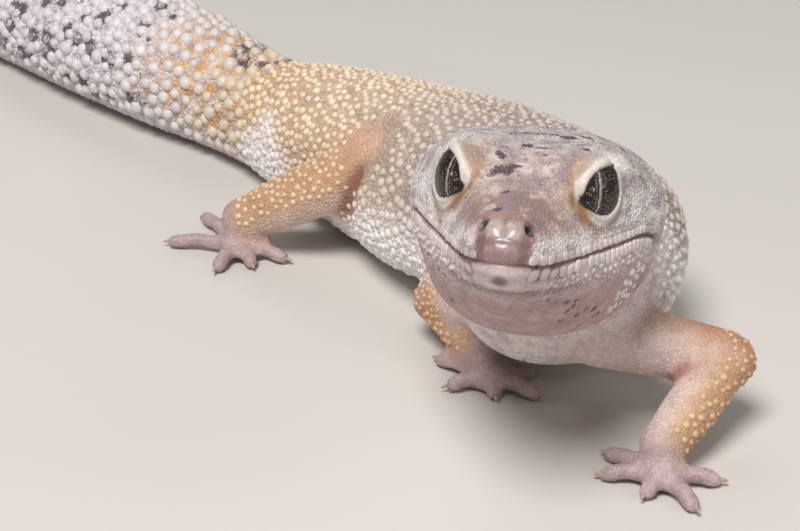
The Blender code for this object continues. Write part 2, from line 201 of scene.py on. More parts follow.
def as_mesh(name, points, triangles):
    mesh = bpy.data.meshes.new(name)
    mesh.vertices.add(len(points))
    set_points(mesh, points)
    mesh.loops.add(len(triangles) * 3)
    mesh.loops.foreach_set("vertex_index", triangles.astype(np.int32).ravel())
    mesh.polygons.add(len(triangles))
    mesh.polygons.foreach_set("loop_start", np.arange(len(triangles), dtype=np.int32) * 3)
    mesh.update(calc_edges=True)
    mesh.validate()
    mesh.shade_smooth()
    return new_object(name, mesh)


def give(piece, kind, **fields):
    """Attributes of a kind, each with a value for each of the piece's points."""
    member = {"FLOAT": "value", "FLOAT_VECTOR": "vector", "FLOAT_COLOR": "color"}[kind]
    for name, values in fields.items():
        if kind == "FLOAT_COLOR":
            values = np.concatenate((values, np.ones((len(values), 1))), axis=1)
        attribute = piece.data.attributes.new(name, kind, "POINT")
        attribute.data.foreach_set(member, np.ascontiguousarray(values, np.float32).ravel())


def rows_of(items, field, width, kind=np.int32):
    """A field of a mesh's points, edges, faces or corners, as rows of so many numbers."""
    values = np.empty(len(items) * width, kind)
    items.foreach_get(field, values)
    return values.reshape(-1, width)


def points_of(mesh):
    return rows_of(mesh.vertices, "co", 3, np.float32).astype(float) / MM


def triangles_of(mesh):
    return rows_of(mesh.polygons, "vertices", 3)


def edges_of(mesh):
    return rows_of(mesh.edges, "vertices", 2)


def relaxed(points, edges, weight, rounds):
    """Points drawn again and again towards the middle of their neighbours."""
    count = len(points)
    first, second = edges.T
    neighbours = np.bincount(edges.ravel(), minlength=count)[:, None]
    pull = 0.5 * weight[:, None]
    for _ in range(rounds):
        total = np.stack([
            np.bincount(first, points[second, k], count)
            + np.bincount(second, points[first, k], count)
            for k in range(points.shape[1])
        ], axis=1)
        points = points + pull * (total / neighbours - points)
    return points


def smoothed(points, edges, weight, rounds):
    """Relaxed twice over, so that the form keeps its size."""
    once = relaxed(points, edges, weight, rounds)
    return 2 * once - relaxed(once, edges, weight, rounds)


def face_normals(points, triangles):
    """Each face's normal, twice as long as the face is large."""
    corners = points[triangles]
    return np.cross(corners[:, 1] - corners[:, 0], corners[:, 2] - corners[:, 0])


def normals_of(points, triangles):
    face = face_normals(points, triangles)
    total = np.zeros_like(points)
    for k in range(3):
        for axis in range(3):
            total[:, axis] += np.bincount(triangles[:, k], face[:, axis], len(points))
    return unit(total)


def only(piece):
    """Selects one piece and nothing else."""
    for other in bpy.context.selected_objects:
        other.select_set(False)
    piece.select_set(True)
    bpy.context.view_layer.objects.active = piece


def modified(piece, kind, **settings):
    """Gives the piece a modifier of a kind and applies it."""
    only(piece)
    modifier = piece.modifiers.new(kind.lower(), kind)
    for key, value in settings.items():
        setattr(modifier, key, value)
    bpy.ops.object.modifier_apply(modifier=modifier.name)


# ---- Skin: the flesh made one -----------------------------------------------------------

FLESH = [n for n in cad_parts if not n.startswith("eye") and "claw" not in n]
SWELL = 0.2  # closes the thin gaps between the solids
COAT_DEPTH = 0.16  # of the skin inside the solids, where granules lie over it
VOXEL = 0.52
REGIONS = ("head", "lower_jaw", "neck", "trunk", "tail",
           "thigh", "upper_arm", "lower_leg", "foot")
# How far each region is smoothed: facets are wide on the trunk and narrow on the toes.
SOFTNESS = np.array((0.42, 0.42, 0.9, 1.0, 0.8, 0.45, 0.26, 0.24, 0.03))
(HEAD_PART, JAW_PART, NECK_PART, TRUNK_PART, TAIL_PART,
 THIGH_PART, ARM_PART, SHIN_PART, FOOT_PART) = range(len(REGIONS))
BLEND_ROUNDS = 25  # widen the seams between regions
FACET_ROUNDS = 80  # take the solids' facets out
STAIR_ROUNDS = 3  # take the remesh's stairs out


def region_of(name):
    for number, word in enumerate(REGIONS):
        if name.startswith(word):
            return number
    return FOOT_PART if name.startswith(("hand", "foot")) else SHIN_PART


def flesh_bvh():
    """All the flesh as one tree, and the region of each of its faces."""
    points, triangles, regions = [], [], []
    for name in FLESH:
        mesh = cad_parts[name].data
        start = len(points)
        points += [v.co / MM for v in mesh.vertices]
        triangles += [tuple(start + i for i in p.vertices) for p in mesh.polygons]
        regions += [region_of(name)] * len(mesh.polygons)
    return BVHTree.FromPolygons(points, triangles), np.array(regions)


def swollen_flesh():
    bm = bmesh.new()
    for name in FLESH:
        bm.from_mesh(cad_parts[name].data)
    bmesh.ops.remove_doubles(bm, verts=bm.verts, dist=1e-6)
    bm.normal_update()
    for vert in bm.verts:
        vert.co += vert.normal * SWELL * MM
    for centre in EYE_CENTRES.values():
        place = Matrix.Translation(Vector(centre * MM))
        radius = EYE_RADIUS * MM
        bmesh.ops.create_uvsphere(bm, u_segments=24, v_segments=16, radius=radius, matrix=place)
    mesh = bpy.data.meshes.new("skin")
    bm.to_mesh(mesh)
    bm.free()
    return new_object("skin", mesh)


def region_weights(points, edges):
    tree, regions = flesh_bvh()
    found = [tree.find_nearest(Vector(p))[2] for p in points]
    weights = np.eye(len(REGIONS))[regions[found]]
    return relaxed(weights, edges, np.ones(len(points)), BLEND_ROUNDS)


def face_share(weights):
    """How far each point belongs to the head and its jaw."""
    return weights[:, HEAD_PART] + weights[:, JAW_PART]


def softened_skin():
    """The one skin, with the solids' facets smoothed out."""
    skin = swollen_flesh()
    modified(skin, "REMESH", mode="VOXEL", voxel_size=VOXEL * MM)
    points, edges = points_of(skin.data), edges_of(skin.data)
    weights = region_weights(points, edges)
    tip = step(np.linalg.norm(points - SPINE_LINE[-1], axis=1), 4, 22)
    soft = weights @ SOFTNESS * (0.1 + 0.9 * tip)
    points = smoothed(points, edges, soft, FACET_ROUNDS)
    points = smoothed(points, edges, np.ones(len(points)), STAIR_ROUNDS)
    set_points(skin.data, points)
    return skin


# ---- Skin: finer where the face needs it ------------------------------------------------

MOUTH_BACKS = (-3.0, 3.0, 8.0, 13.0, 17.5, 21.0)
MOUTH_LEVELS = (-0.1, -0.1, 0.5, 1.6, 2.6, 2.3)
MOUTH_CORNER = 20.4

# The eye's opening seen along the gaze, in places towards the temple and up from the middle
# of the eyeball: round the inner corner, along the straight upper edge to the sharp upper
# outer corner, down the temple side and back below.
OPENING = (
    (-3.35, -1.0), (-3.28, -0.45), (-3.15, 0.15), (-2.95, 0.7), (-2.6, 1.3), (-2.05, 1.85),
    (-1.3, 2.3), (-0.2, 2.6), (0.9, 2.78), (2.15, 3.15), (1.45, 2.3), (1.15, 1.65), (1.0, 1.0),
    (0.95, 0.35), (0.95, -0.4), (0.8, -1.05), (0.45, -1.65), (-0.15, -2.05), (-0.95, -2.18),
    (-1.65, -2.0), (-2.3, -1.72), (-2.9, -1.4),
)
GLOBE = (3.15, 3.15, 2.05)  # the visible eye: flatter than the ball, across, up and out
GLOBE_OUT = 0.8
PUPIL_ACROSS = -1.8
# How far round an eyeball's middle the lids and the finer mesh and colours beside them reach.
LID_REACH = 7.0
SURROUND_REACH = 6.5
FINE_REACH = 6.2


def eye_axes(side):
    look = unit(from_head(EYE_LOOK * (1, side, 1)) - MOUTH)
    across = unit(np.cross(look, UP)) * -side  # towards the temple
    return across, unit(UP - look * (UP @ look)), look


def opening_line(steps=5):
    """The opening's edge as a close row of points."""
    start = np.array(OPENING)
    end = np.roll(start, -1, axis=0)
    share = np.arange(steps)[None, :, None] / steps
    return (start[:, None] + (end - start)[:, None] * share).reshape(-1, 2)


def from_eye(points, side):
    """Places across, up and out from an eyeball's middle, and the distance outside the
    opening's edge, which is negative inside it."""
    place = (points - EYE_CENTRES[side]) @ np.stack(eye_axes(side)).T
    line = opening_line()
    away = line[None] - place[:, None, :2]
    distance = np.sqrt((away**2).sum(axis=2)).min(axis=1)
    bearing = np.arctan2(away[..., 1], away[..., 0])
    turn = np.diff(np.concatenate((bearing, bearing[:, :1]), axis=1), axis=1)
    turn = (turn + math.pi) % math.tau - math.pi
    inside = np.abs(turn.sum(axis=1)) > math.pi
    return place, np.where(inside, -distance, distance)


def round_eye(points, side, reach):
    """Which points are near an eye, and what from_eye says of them."""
    close = np.flatnonzero(np.linalg.norm(points - EYE_CENTRES[side], axis=1) < reach)
    return close, *from_eye(points[close], side)


def rim_width(place):
    """The pale rim is broad over the inner corner and below, and a thread beside the temple."""
    temple = step(place[:, 0], -0.5, 0.7) * step(place[:, 1], -2.0, 0.2)
    nose_side = step(-place[:, 0], 1.4, 2.8)
    return 0.84 - 0.16 * nose_side - 0.7 * temple * (1 - step(place[:, 1], 1.8, 2.7))


def globe_reach(ways):
    """How far the visible eye reaches from the eyeball's middle, by direction."""
    size = np.array(GLOBE)
    scaled = ways / size
    start = np.array((0, 0, -GLOBE_OUT)) / size
    a = (scaled**2).sum(axis=1)
    b = scaled @ start
    c = start @ start - 1
    return (-b + np.sqrt(np.maximum(b * b - a * c, 0))) / a


def mouth_gap(head):
    """How far over the mouth line each place of the head is."""
    return head[:, 2] - curve(MOUTH_BACKS, MOUTH_LEVELS, head[:, 0])


def near_face(points):
    """How much finer the skin has to be: 0, 1 or 2 halvings."""
    head = to_head(points)
    on_head = (head[:, 0] > -2) & (head[:, 0] < 24)
    line = np.abs(mouth_gap(head)) + 2 * np.maximum(0, head[:, 0] - MOUTH_CORNER)
    level = np.where(on_head & ((line < 1.8) | (head[:, 0] < 5.0)), 1, 0)
    nose = (head[:, 0] < 3.2) & (np.abs(head[:, 1]) < 3.6) & (head[:, 2] < 5.0)
    level = np.where(on_head & ((line < 0.45) | nose & (head[:, 2] > -0.6)), 2, level)
    for side in (1, -1):
        close, place, gap = round_eye(points, side, FINE_REACH)
        here = np.where((place[:, 2] > -0.5) & (gap < 2.4), 1, 0)
        here = np.where((place[:, 2] > 0) & (np.abs(gap) < 0.6), 2, here)
        level[close] = np.maximum(level[close], here)
    return level


def refined(skin):
    bm = bmesh.new()
    bm.from_mesh(skin.data)
    for wanted in (1, 2):
        points = np.array([v.co for v in bm.verts]) / MM
        level = near_face(points)
        bm.verts.ensure_lookup_table()
        chosen = [e for e in bm.edges if min(level[v.index] for v in e.verts) >= wanted]
        bmesh.ops.subdivide_edges(bm, edges=chosen, cuts=1, use_grid_fill=True)
        bm.verts.index_update()
    bmesh.ops.triangulate(bm, faces=bm.faces)
    bm.to_mesh(skin.data)
    bm.free()


# ---- Skin: lids, lips, nostrils, ears and folds -----------------------------------------

NOSTRIL = (1.75, 2.3, 3.2)
NOSTRIL_WAY = np.array((-0.5, 0.72, 0.48))  # out of the nostril
EAR = (27.0, 11.9, 3.6)


def with_lids(points, side):
    """The thick pale rim round an eye, the crease outside it, and the opening sunk behind
    the visible eye."""
    close, place, gap = round_eye(points, side, LID_REACH)
    reach = np.linalg.norm(place, axis=1)
    globe = globe_reach(place / reach[:, None])
    width = rim_width(place)
    front = step(place[:, 2], -0.9, 0.3)
    roll = np.sqrt(np.clip(1 - ((np.minimum(gap / width, 0.55) - 0.55) / 0.58) ** 2, 0, 1))
    nose_side = 1 - step(place[:, 0], -0.2, 1.2)
    over, under = step(place[:, 1], -0.9, 0.9), step(-place[:, 1], 1.0, 2.0)
    proud = 0.12 + nose_side * (0.36 * over + 0.14 * under)
    rim = globe + 0.06 + proud * roll
    out = step(gap, width * 0.8, width + 1.1)
    crease = -0.2 * bump(gap - width - 0.25, 0.3)
    lid = rim * (1 - out) + (reach + crease) * out
    inside = 1 - step(gap, -0.1, 0.06)
    wanted = lid * (1 - inside) + (globe - 0.5) * inside
    wanted = reach + (wanted - reach) * front * (1 - step(gap, 1.8, 2.8))
    points = points.copy()
    points[close] = EYE_CENTRES[side] + unit(points[close] - EYE_CENTRES[side]) * wanted[:, None]
    return points


def mouth_relief(head):
    gap = mouth_gap(head)
    behind = step(head[:, 0], MOUTH_CORNER - 0.4, MOUTH_CORNER + 1)
    along = step(head[:, 0], -1.0, 0.2) * (1 - behind)
    lips = 0.14 * bump(gap - 0.75, 0.5) + 0.12 * bump(gap + 0.7, 0.5)
    groove = -(0.26 + 0.14 * step(head[:, 0], 8, 16)) * bump(gap, 0.14)
    corner = -0.45 * bump(np.hypot(head[:, 0] - MOUTH_CORNER - 0.3, gap * 1.2), 0.7)
    chin = -0.16 * bump(gap + 2.9, 0.35) * (1 - step(head[:, 0], 7, 12))
    return (lips + groove) * along + corner + chin


def mirrored(head):
    return np.stack((head[:, 0], np.abs(head[:, 1]), head[:, 2]), axis=1)


def from_place(head, place):
    """Distance from a place on either side of the head."""
    return np.linalg.norm(mirrored(head) - np.array(place), axis=1)


def from_nostril(head):
    """Distance from the line along which a nostril opens."""
    away = mirrored(head) - NOSTRIL
    depth = away @ NOSTRIL_WAY
    return np.linalg.norm(away - depth[:, None] * NOSTRIL_WAY, axis=1) + 5 * (np.abs(depth) > 2.2)


def nose_seams(head):
    """Distances from the soft grooves round the two round scales over the rostral scale, and
    from the deep ones that run from the nostrils down its sides."""
    left, up = np.abs(head[:, 1]), head[:, 2]
    behind = np.maximum(head[:, 0] - 3.0, 0)
    below = np.hypot(up - (2.15 - 0.12 * left**2), np.maximum(left - 1.9, 0))
    between = np.hypot(left, np.maximum(2.1 - up, 0) + np.maximum(up - 3.9, 0))
    beside = np.hypot(left - 2.1, np.maximum(up - 3.0, 0) + np.maximum(0.2 - up, 0))
    return np.minimum(below, between) + behind, beside + behind


def nose_relief(head):
    nostril = from_nostril(head)
    pit = -0.9 * bump(nostril, 0.56) + 0.12 * bump(nostril - 0.95, 0.3)
    bulbs = 0.36 * bump(from_place(head, (0.75, 1.0, 3.05)), 0.85)
    rostral = 0.26 * bump(np.hypot(head[:, 1] / 2.0, (head[:, 2] - 1.2) / 1.1), 1.0)
    rostral = rostral * (head[:, 0] < 3)
    soft, deep = nose_seams(head)
    return pit + bulbs + rostral - 0.06 * bump(soft, 0.25) - 0.1 * bump(deep, 0.35)


def ear_relief(head):
    slit = np.hypot((head[:, 0] - EAR[0]) / 0.7, (head[:, 2] - EAR[2]) / 1.5)
    outer = np.abs(head[:, 1]) > 8
    return np.where(outer, -0.8 * bump(slit, 1.0), 0)


def fold_relief(points, weights, place, height):
    """Soft folds across the neck and the sides, and the rings of the fat tail."""
    neck = weights[:, NECK_PART] + weights[:, TRUNK_PART] * (1 - step(place, 6, 16))
    folds = np.sin(place * 2.1 + 0.06 * height) * 0.12 * neck
    tail = weights[:, TAIL_PART] * step(place, VENT, VENT + 10)
    tail_rings = -0.22 * np.exp(-((((place - VENT) % 3.4) - 1.7) / 0.45) ** 2) * tail
    return folds + tail_rings - 0.5 * leg_crease(points, weights)


def modelled_skin():
    skin = softened_skin()
    refined(skin)
    points, triangles = points_of(skin.data), triangles_of(skin.data)
    edges = edges_of(skin.data)
    weights = region_weights(points, edges)
    place, _, height, _ = to_body(points)
    head = to_head(points)
    faceward = face_share(weights)
    inward = -(SWELL + COAT_DEPTH) + 0.14 * weights[:, FOOT_PART] + 0.06 * faceward
    relief = inward + fold_relief(points, weights, place, height)
    relief += (nose_relief(head) + ear_relief(head)) * faceward
    relief += mouth_relief(head) * faceward
    points = points + normals_of(points, triangles) * relief[:, None]
    for side in (1, -1):
        points = with_lids(points, side)
    points[:, 2] = np.maximum(points[:, 2], 0.04)
    set_points(skin.data, points)
    skin.data.update()
    skin.data.shade_smooth()
    return skin, points, triangles, edges, weights


# ---- Colours and marks ------------------------------------------------------------------


def linear(hexes):
    """An sRGB hex colour as linear light."""
    parts = [int(hexes[i:i + 2], 16) / 255 for i in (1, 3, 5)]
    return np.array([p / 12.92 if p <= 0.04045 else ((p + 0.055) / 1.055) ** 2.4 for p in parts])


CROWN = linear("#BEB2AD")
BROW = linear("#BBA298")
SNOUT = linear("#957262")
TEMPLE = linear("#E2D8D5")
LIPS = linear("#D2C5BF")
CHIN = linear("#B8A2A0")
# Partly painted shade: the throat's pale pink, darkened by the shade under the head.
THROAT = linear("#B59591")
NECK = linear("#DBCDCA")
SHOULDER = linear("#A08E86")
BACK = linear("#CAAD92")
FLANK = linear("#F2EAE7")
BELLY = linear("#E8DAD7")
LEG = linear("#BF936C")
LEG_INSIDE = linear("#E0C9C2")
KNEE = linear("#CDA288")
# The elbow's darker tone, and painted shade in the inner crook of the elbow.
ELBOW_PIT = linear("#A0625A")
# Painted shade: the dark brown in the crease under each knee.
KNEE_CREASE_SHADE = linear("#8A5742")
FOOT = linear("#B49C9A")
TAIL = linear("#DAD3D7")
TAIL_ORANGE = linear("#CE9A55")
BROW_TAN = linear("#A98364")
RIM = linear("#D8CEC4")
CANTHUS = linear("#93693C")
MOUTH_PINK = linear("#8A5B56")
ROSTRAL = linear("#86645F")
BULB = linear("#BBA69B")
MENTAL = linear("#C9B9BB")
LIP_BROWN = linear("#6B4E4A")
GROOVE = linear("#74453A")
NOSTRIL_PINK = linear("#C57E92")
# Painted shade: the inside of the nostrils.
NOSTRIL_SHADE = linear("#2E1817")
# Painted shade: near black for the skin inside the eye openings, round the eyeball.
SOCKET = linear("#150F0E")
CHARCOAL = linear("#3C2E36")
GREY_BLOOM = linear("#8A7C82")
PALE_BLOOM = linear("#DACFCB")
CREAM_FRONT = linear("#CCC0B6")
CREAM_REAR = linear("#E9DABE")
TUBERCLE_WHITE = linear("#ECE6E5")
TUBERCLE_ARM = linear("#D8B285")
TUBERCLE_LEG = linear("#DFC4A2")
FLECK_BROWN = linear("#7C625C")
IRIS = linear("#261916")
IRIS_FLECK = linear("#9A817B")
PUPIL_EDGE = linear("#A79C98")
PUPIL = linear("#080606")
HORN = linear("#C9B4A8")
HORN_DARK = linear("#8E7468")
FLOOR = linear("#CFC9C2")

# Charcoal marks on the crown: back and left of the mouth's front, half length, half width,
# and the turn of the long way from straight across.
CROWN_MARKS = (
    (9.6, -1.8, 1.15, 0.62, 12), (9.0, -2.8, 0.5, 0.4, 0), (10.1, -0.9, 0.6, 0.4, 20),
    (11.3, -2.45, 0.5, 0.9, 30), (14.85, -0.6, 0.62, 0.7, 0), (14.6, 0.95, 1.1, 0.3, 0),
    (18.3, -2.6, 0.7, 0.35, 10), (18.8, -0.9, 1.4, 0.28, 12), (19.2, 1.3, 1.2, 0.3, 5),
    (19.0, 3.0, 1.1, 0.55, 0), (20.3, 4.7, 1.2, 0.35, -25), (18.6, 6.8, 1.5, 0.4, -35),
    (20.6, 8.0, 1.1, 0.35, -40), (3.3, -1.2, 0.5, 0.4, 0), (6.4, -1.0, 0.5, 0.35, 20),
    (14.0, 5.1, 0.7, 0.4, -10), (22.5, -4.5, 1.2, 0.4, 15), (23.4, 0.5, 1.0, 0.5, -10),
    (22.8, 5.5, 0.9, 0.4, -20), (25.5, 2.6, 1.3, 0.45, 8), (25.8, -2.2, 0.9, 0.5, 0),
    (16.6, -5.6, 0.8, 0.3, 30), (12.5, 1.6, 0.35, 0.3, 0),
)
# Short dashes, most of them on the throat's left side: back, left, up.
THROAT_MARKS = (
    (7.4, 3.9, -3.6), (8.6, 4.6, -3.8), (10.0, 5.3, -4.0), (11.1, 6.1, -3.8),
    (11.5, 5.9, -4.3), (11.6, 5.4, -4.9), (13.2, 4.8, -6.1), (13.7, 6.0, -5.5),
    (13.6, 6.9, -4.7), (14.7, 7.6, -4.6), (16.4, 7.2, -5.8), (16.5, 7.9, -5.2),
    (20.8, 7.2, -6.8), (16.6, 6.2, -6.6), (9.8, -5.3, -3.9), (10.7, -6.5, -2.9),
    (13.8, -8.8, -1.5), (12.0, -7.5, -2.5), (14.0, -6.3, -5.4), (16.3, -10.0, -1.0),
)
CHIN_MARK = (0.5, -0.1, -1.85)
LIP_GAPS = ((9.0, -6.6, 0.3), (4.5, -4.5, -0.2), (2.3, 2.45, -0.45), (4.35, 3.85, -0.3))
# Dark spots on the tail stand this far apart along it, and this many degrees round it.
TAIL_MARK_STEP = 3.7
TAIL_MARK_TURN = 37


def crown_darkness(head):
    dark = np.zeros(len(head))
    for back, left, long, wide, turn in CROWN_MARKS:
        a = math.radians(turn)
        along = (head[:, 1] - left) * math.cos(a) + (head[:, 0] - back) * math.sin(a)
        across = (head[:, 0] - back) * math.cos(a) - (head[:, 1] - left) * math.sin(a)
        dark = np.maximum(dark, bump(np.hypot(along / long, across / wide), 1.15))
    return dark * step(head[:, 2], 2.5, 4.0)


def on_hide(points, places):
    """The hide's nearest point to each place."""
    return [points[np.linalg.norm(points - place, axis=1).argmin()] for place in places]


def spots(points, centres, radius):
    dark = np.zeros(len(points))
    for centre in centres:
        dark = np.maximum(dark, bump(np.linalg.norm(points - centre, axis=1), radius))
    return dark


def tail_marks():
    """Places and sizes of the tail's dark spots, scattered in loose rows, none below: along
    from the vent, degrees round from the left flank over the back, and radius."""
    dice = np.random.default_rng(5)
    marks = []
    for along in np.arange(22.0, 105.0, TAIL_MARK_STEP):
        for turn in np.arange(-15.0, 200.0, TAIL_MARK_TURN):
            size = dice.uniform(0.5, 1.15) + dice.uniform(0.3, 0.95) * (along > 25)
            size += 0.4 * (along > 42)
            marks.append((along + dice.normal(0, 0.9), turn + dice.normal(0, 10), size))
    return marks


def tail_darkness(place, height, side):
    around = np.where(side > 0, height, 180 - height)
    dark = np.zeros(len(place))
    for along, turn, size in tail_marks():
        near = np.flatnonzero(np.abs(place - VENT - along) < 3)
        arc = np.radians(around[near] - turn) * 8.5
        spot = bump(np.hypot(place[near] - VENT - along, arc), size)
        dark[near] = np.maximum(dark[near], spot)
    base = np.hypot((place - VENT - 4.5) / 4.6, (around - 104) / 34)
    ring = bump(base - 0.9, 0.4) * 0.8
    return np.maximum(dark, ring)


def head_colour(head):
    crown = mix(plain(TEMPLE, head), CROWN, step(head[:, 2], 4.5, 8.0))
    brow = bump(np.hypot((head[:, 0] - 9.5) / 4.5, head[:, 1] / 5.0), 1.0)
    crown = mix(crown, BROW, brow * step(head[:, 2], 3, 6) * 0.9)
    snoutward = (1 - step(head[:, 0], 5.5, 10.0)) * step(head[:, 2], 1.7, 3.4)
    colour = mix(crown, SNOUT, snoutward * 0.92)
    brows = bump(np.hypot((head[:, 0] - 9.8) / 2.6, (np.abs(head[:, 1]) - 4.5) / 1.1), 1.0)
    colour = mix(colour, BROW_TAN, brows * 0.6 * step(head[:, 2], 4, 6))
    lips = 1 - step(np.abs(mouth_gap(head) + 0.3), 1.6, 2.6)
    colour = mix(colour, LIPS, lips * step(head[:, 0], 1, 3))
    low = -mouth_gap(head)
    colour = mix(colour, CHIN, step(low, 1.8, 2.8))
    # The throat below, its colour partly painted shade.
    return mix(colour, THROAT, step(low, 3.2, 5.0))


HIP_PATCHES = ((-6.1, -2.8, 11.0), (-7.5, -0.5, 8.0), (-5.5, -5.5, 8.5))


def orange_share(points, place, height):
    """Patchy orange between the tubercles, from the hips to the tail's first rings."""
    along = (1 - step(place, VENT + 11, VENT + 30)) * step(place, VENT - 22, VENT - 3)
    patchy = np.sin(points[:, 0] * 1.7 + 1.3) * np.sin(points[:, 1] * 1.25 + points[:, 2])
    return along * (0.62 + 0.38 * patchy) * step(height, -40, 0)


def body_colour(points, place, height):
    back = mix(plain(SHOULDER, place), BACK, step(place, 22, 60))
    back = mix(back, TAIL_ORANGE, orange_share(points, place, height) * 0.8)
    colour = mix(back, FLANK, 1 - step(height, -15, 22))
    colour = mix(colour, FLANK, spots(points, HIP_PATCHES, 2.6))
    return mix(colour, BELLY, 1 - step(height, -70, -45))


def tail_colour(place, height, points):
    return mix(plain(TAIL, place), TAIL_ORANGE, orange_share(points, place, height))


FRONT_LEGS_END = -50.0  # along the model: front legs lie before it
BODY_MIDDLE = 2.5  # across the model, between its left and right legs
KNEES = np.array(((0.4, -28.9, 15.4), (22.3, -11.4, 8.6)))
ELBOWS = np.array(((17.6, -80.6, 8.9), (-2.3, -49.1, 5.6)))


def nearest(points, places):
    return np.linalg.norm(points[:, None] - places, axis=2).min(axis=1)


def outwards(points):
    """1 on the left of the model, -1 on its right."""
    return np.sign(points[:, 0] - BODY_MIDDLE)


def outer_side(points, normals):
    """How far the surface of a lower leg faces its outer, bony side."""
    across = outwards(points)
    front = normals[:, 0] * 0.84 * across - normals[:, 1] * 0.53 - normals[:, 2] * 0.1
    return np.where(points[:, 1] < FRONT_LEGS_END, front, normals[:, 2] + 0.2)


def arm_colour(points, normals):
    """Upper arms: pale pink before, tan over the top and round the elbow."""
    across = outwards(points)
    top = normals[:, 0] * 0.25 * across + normals[:, 1] * 0.4 + normals[:, 2] * 0.88
    outer = normals[:, 0] * across + normals[:, 2] * 0.2
    elbow = (1 - step(nearest(points, ELBOWS), 3.5, 8.0)) * step(outer, -0.9, 0.4)
    share = np.maximum(step(top, -0.2, 1.0) * 0.75, elbow * 0.95)
    colour = mix(plain(LEG_INSIDE, points), LEG, share)
    return mix(colour, ELBOW_PIT, elbow * 0.3)


def lower_leg_colour(points, normals):
    share = step(outer_side(points, normals), -0.9, 0.6)
    return mix(plain(LEG_INSIDE, points), LEG, share * 0.95)


def thigh_colour(points, normals, trunk):
    """Thighs: like the back at the hip, smooth and pinkish at the knee, pale below."""
    knee = 1 - step(nearest(points, KNEES), 5.0, 10.0)
    colour = mix(mix(trunk, LEG, np.full(len(points), 0.25)), KNEE, knee)
    return mix(colour, LEG_INSIDE, step(-normals[:, 2], 0.1, 0.8))


def leg_crease(points, weights):
    """The fold where a bent hind leg lies against the flank, deepest round the knee."""
    leg = weights[:, THIGH_PART] + weights[:, SHIN_PART]
    fold = (4 * leg * weights[:, TRUNK_PART]) ** 2
    return fold * (1 - step(nearest(points, KNEES), 7.0, 13.0))


def nose_colour(colour, head):
    """The wet brown rostral scale with two paler round scales over it, and the nostrils in painted
    shade.
    """
    left, up, gap = np.abs(head[:, 1]), head[:, 2], mouth_gap(head)
    front = 1 - step(head[:, 0], 2.2, 3.0)
    rostral = (1 - step(left, 1.7, 2.6)) * front * step(gap, 0.05, 0.3) * (1 - step(up, 1.8, 3.0))
    colour = mix(colour, ROSTRAL, rostral * 0.9)
    bulbs = 1 - step(from_place(head, (0.8, 0.95, 3.1)), 0.5, 1.6)
    colour = mix(colour, BULB, bulbs * step(up, 1.9, 2.8))
    soft, deep = nose_seams(head)
    colour = mix(colour, LIP_BROWN, bump(soft, 0.25) * 0.3)
    colour = mix(colour, LIP_BROWN, bump(deep, 0.5) * 0.75)
    groove = bump(left - 2.3, 0.42) * front * step(up, 0.2, 0.8) * (1 - step(up, 2.2, 2.8))
    colour = mix(colour, GROOVE, groove * 0.8)
    colour = mix(colour, NOSTRIL_PINK, bump(from_place(head, (1.2, 2.5, 2.5)), 0.5) * 0.5)
    # Painted shade: the nostril openings are painted nearly black.
    return mix(colour, NOSTRIL_SHADE, np.clip(1.4 * bump(from_nostril(head), 0.6), 0, 1))


def mouth_colour(colour, head):
    """The pink mouth line, painted shade in the pockets at its corners, the smooth front of the
    lower lip and the brown gaps between the lower lip's plates."""
    gap, left = mouth_gap(head), np.abs(head[:, 1])
    along = 1 - step(head[:, 0], MOUTH_CORNER, MOUTH_CORNER + 1.5)
    mental = (1 - step(left, 2.5, 2.9)) * (1 - step(head[:, 0], 3.0, 4.0)) * step(-gap, 0.1, 0.3)
    colour = mix(colour, MENTAL, mental * (1 - step(-gap, 1.6, 2.3)))
    between = bump(gap + 0.7, 0.7) * (1 - step(head[:, 0], 3.5, 8)) * step(left, 2.6, 2.75)
    colour = mix(colour, LIP_BROWN, np.clip(between * 1.3, 0, 0.8))
    colour = mix(colour, MOUTH_PINK, bump(gap, 0.24) * along * 0.9)
    # Painted shade: the pockets at the mouth's corners are darkened brown.
    corner = bump(np.hypot(head[:, 0] - MOUTH_CORNER - 0.2, gap), 0.9) * (left > 8)
    colour = mix(colour, LIP_BROWN, corner * 0.8)
    fold = bump(gap + 2.9, 0.3) * (1 - step(head[:, 0], 7, 12)) * 0.45
    return mix(colour, LIP_BROWN, fold)


def eye_surround(colour, points):
    for side in (1, -1):
        close, place, edge = round_eye(points, side, SURROUND_REACH)
        front = step(place[:, 2], -0.6, 0.3)
        width = rim_width(place)
        tan = bump(edge - width - 0.4, 0.8) * step(-place[:, 0], 0.2, 2.0) * front
        here = mix(colour[close], BROW_TAN, tan * 0.55)
        # Painted shade: a dark line along the crease below the lower rim.
        line = bump(edge - width - 0.3, 0.4) * step(-place[:, 1], -0.4, 0.8)
        here = mix(here, CANTHUS * 0.5, line * front * 0.75)
        here = mix(here, RIM, front * (1 - step(edge, width - 0.12, width + 0.1)))
        canthus = bump(np.hypot(place[:, 0] + 3.4, place[:, 1] + 1.85), 1.3) * front
        here = mix(here, CANTHUS, np.clip(canthus * 1.15, 0, 0.95))
        # Painted shade: inside the opening the skin is painted near black.
        colour[close] = mix(here, SOCKET, front * (1 - step(edge, -0.1, 0.1)))
    return colour


def wetness(head, weights):
    """How glossy the skin is: most on the nose, the mouth line and the lower lip's front."""
    gap, left = mouth_gap(head), np.abs(head[:, 1])
    front = 1 - step(head[:, 0], 2.6, 3.6)
    nose = front * (1 - step(left, 1.5, 2.6)) * (1 - step(head[:, 2], 3.2, 4.3)) * step(gap, 0, 0.2)
    nose = nose * (1 - bump(from_nostril(head), 0.9))
    mental = front * (1 - step(left, 2.6, 3.0)) * step(-gap, 0, 0.2) * (1 - step(-gap, 1.6, 2.2))
    return np.maximum(np.maximum(nose, mental * 0.8), bump(gap, 0.3) * 0.6) * (
        face_share(weights))


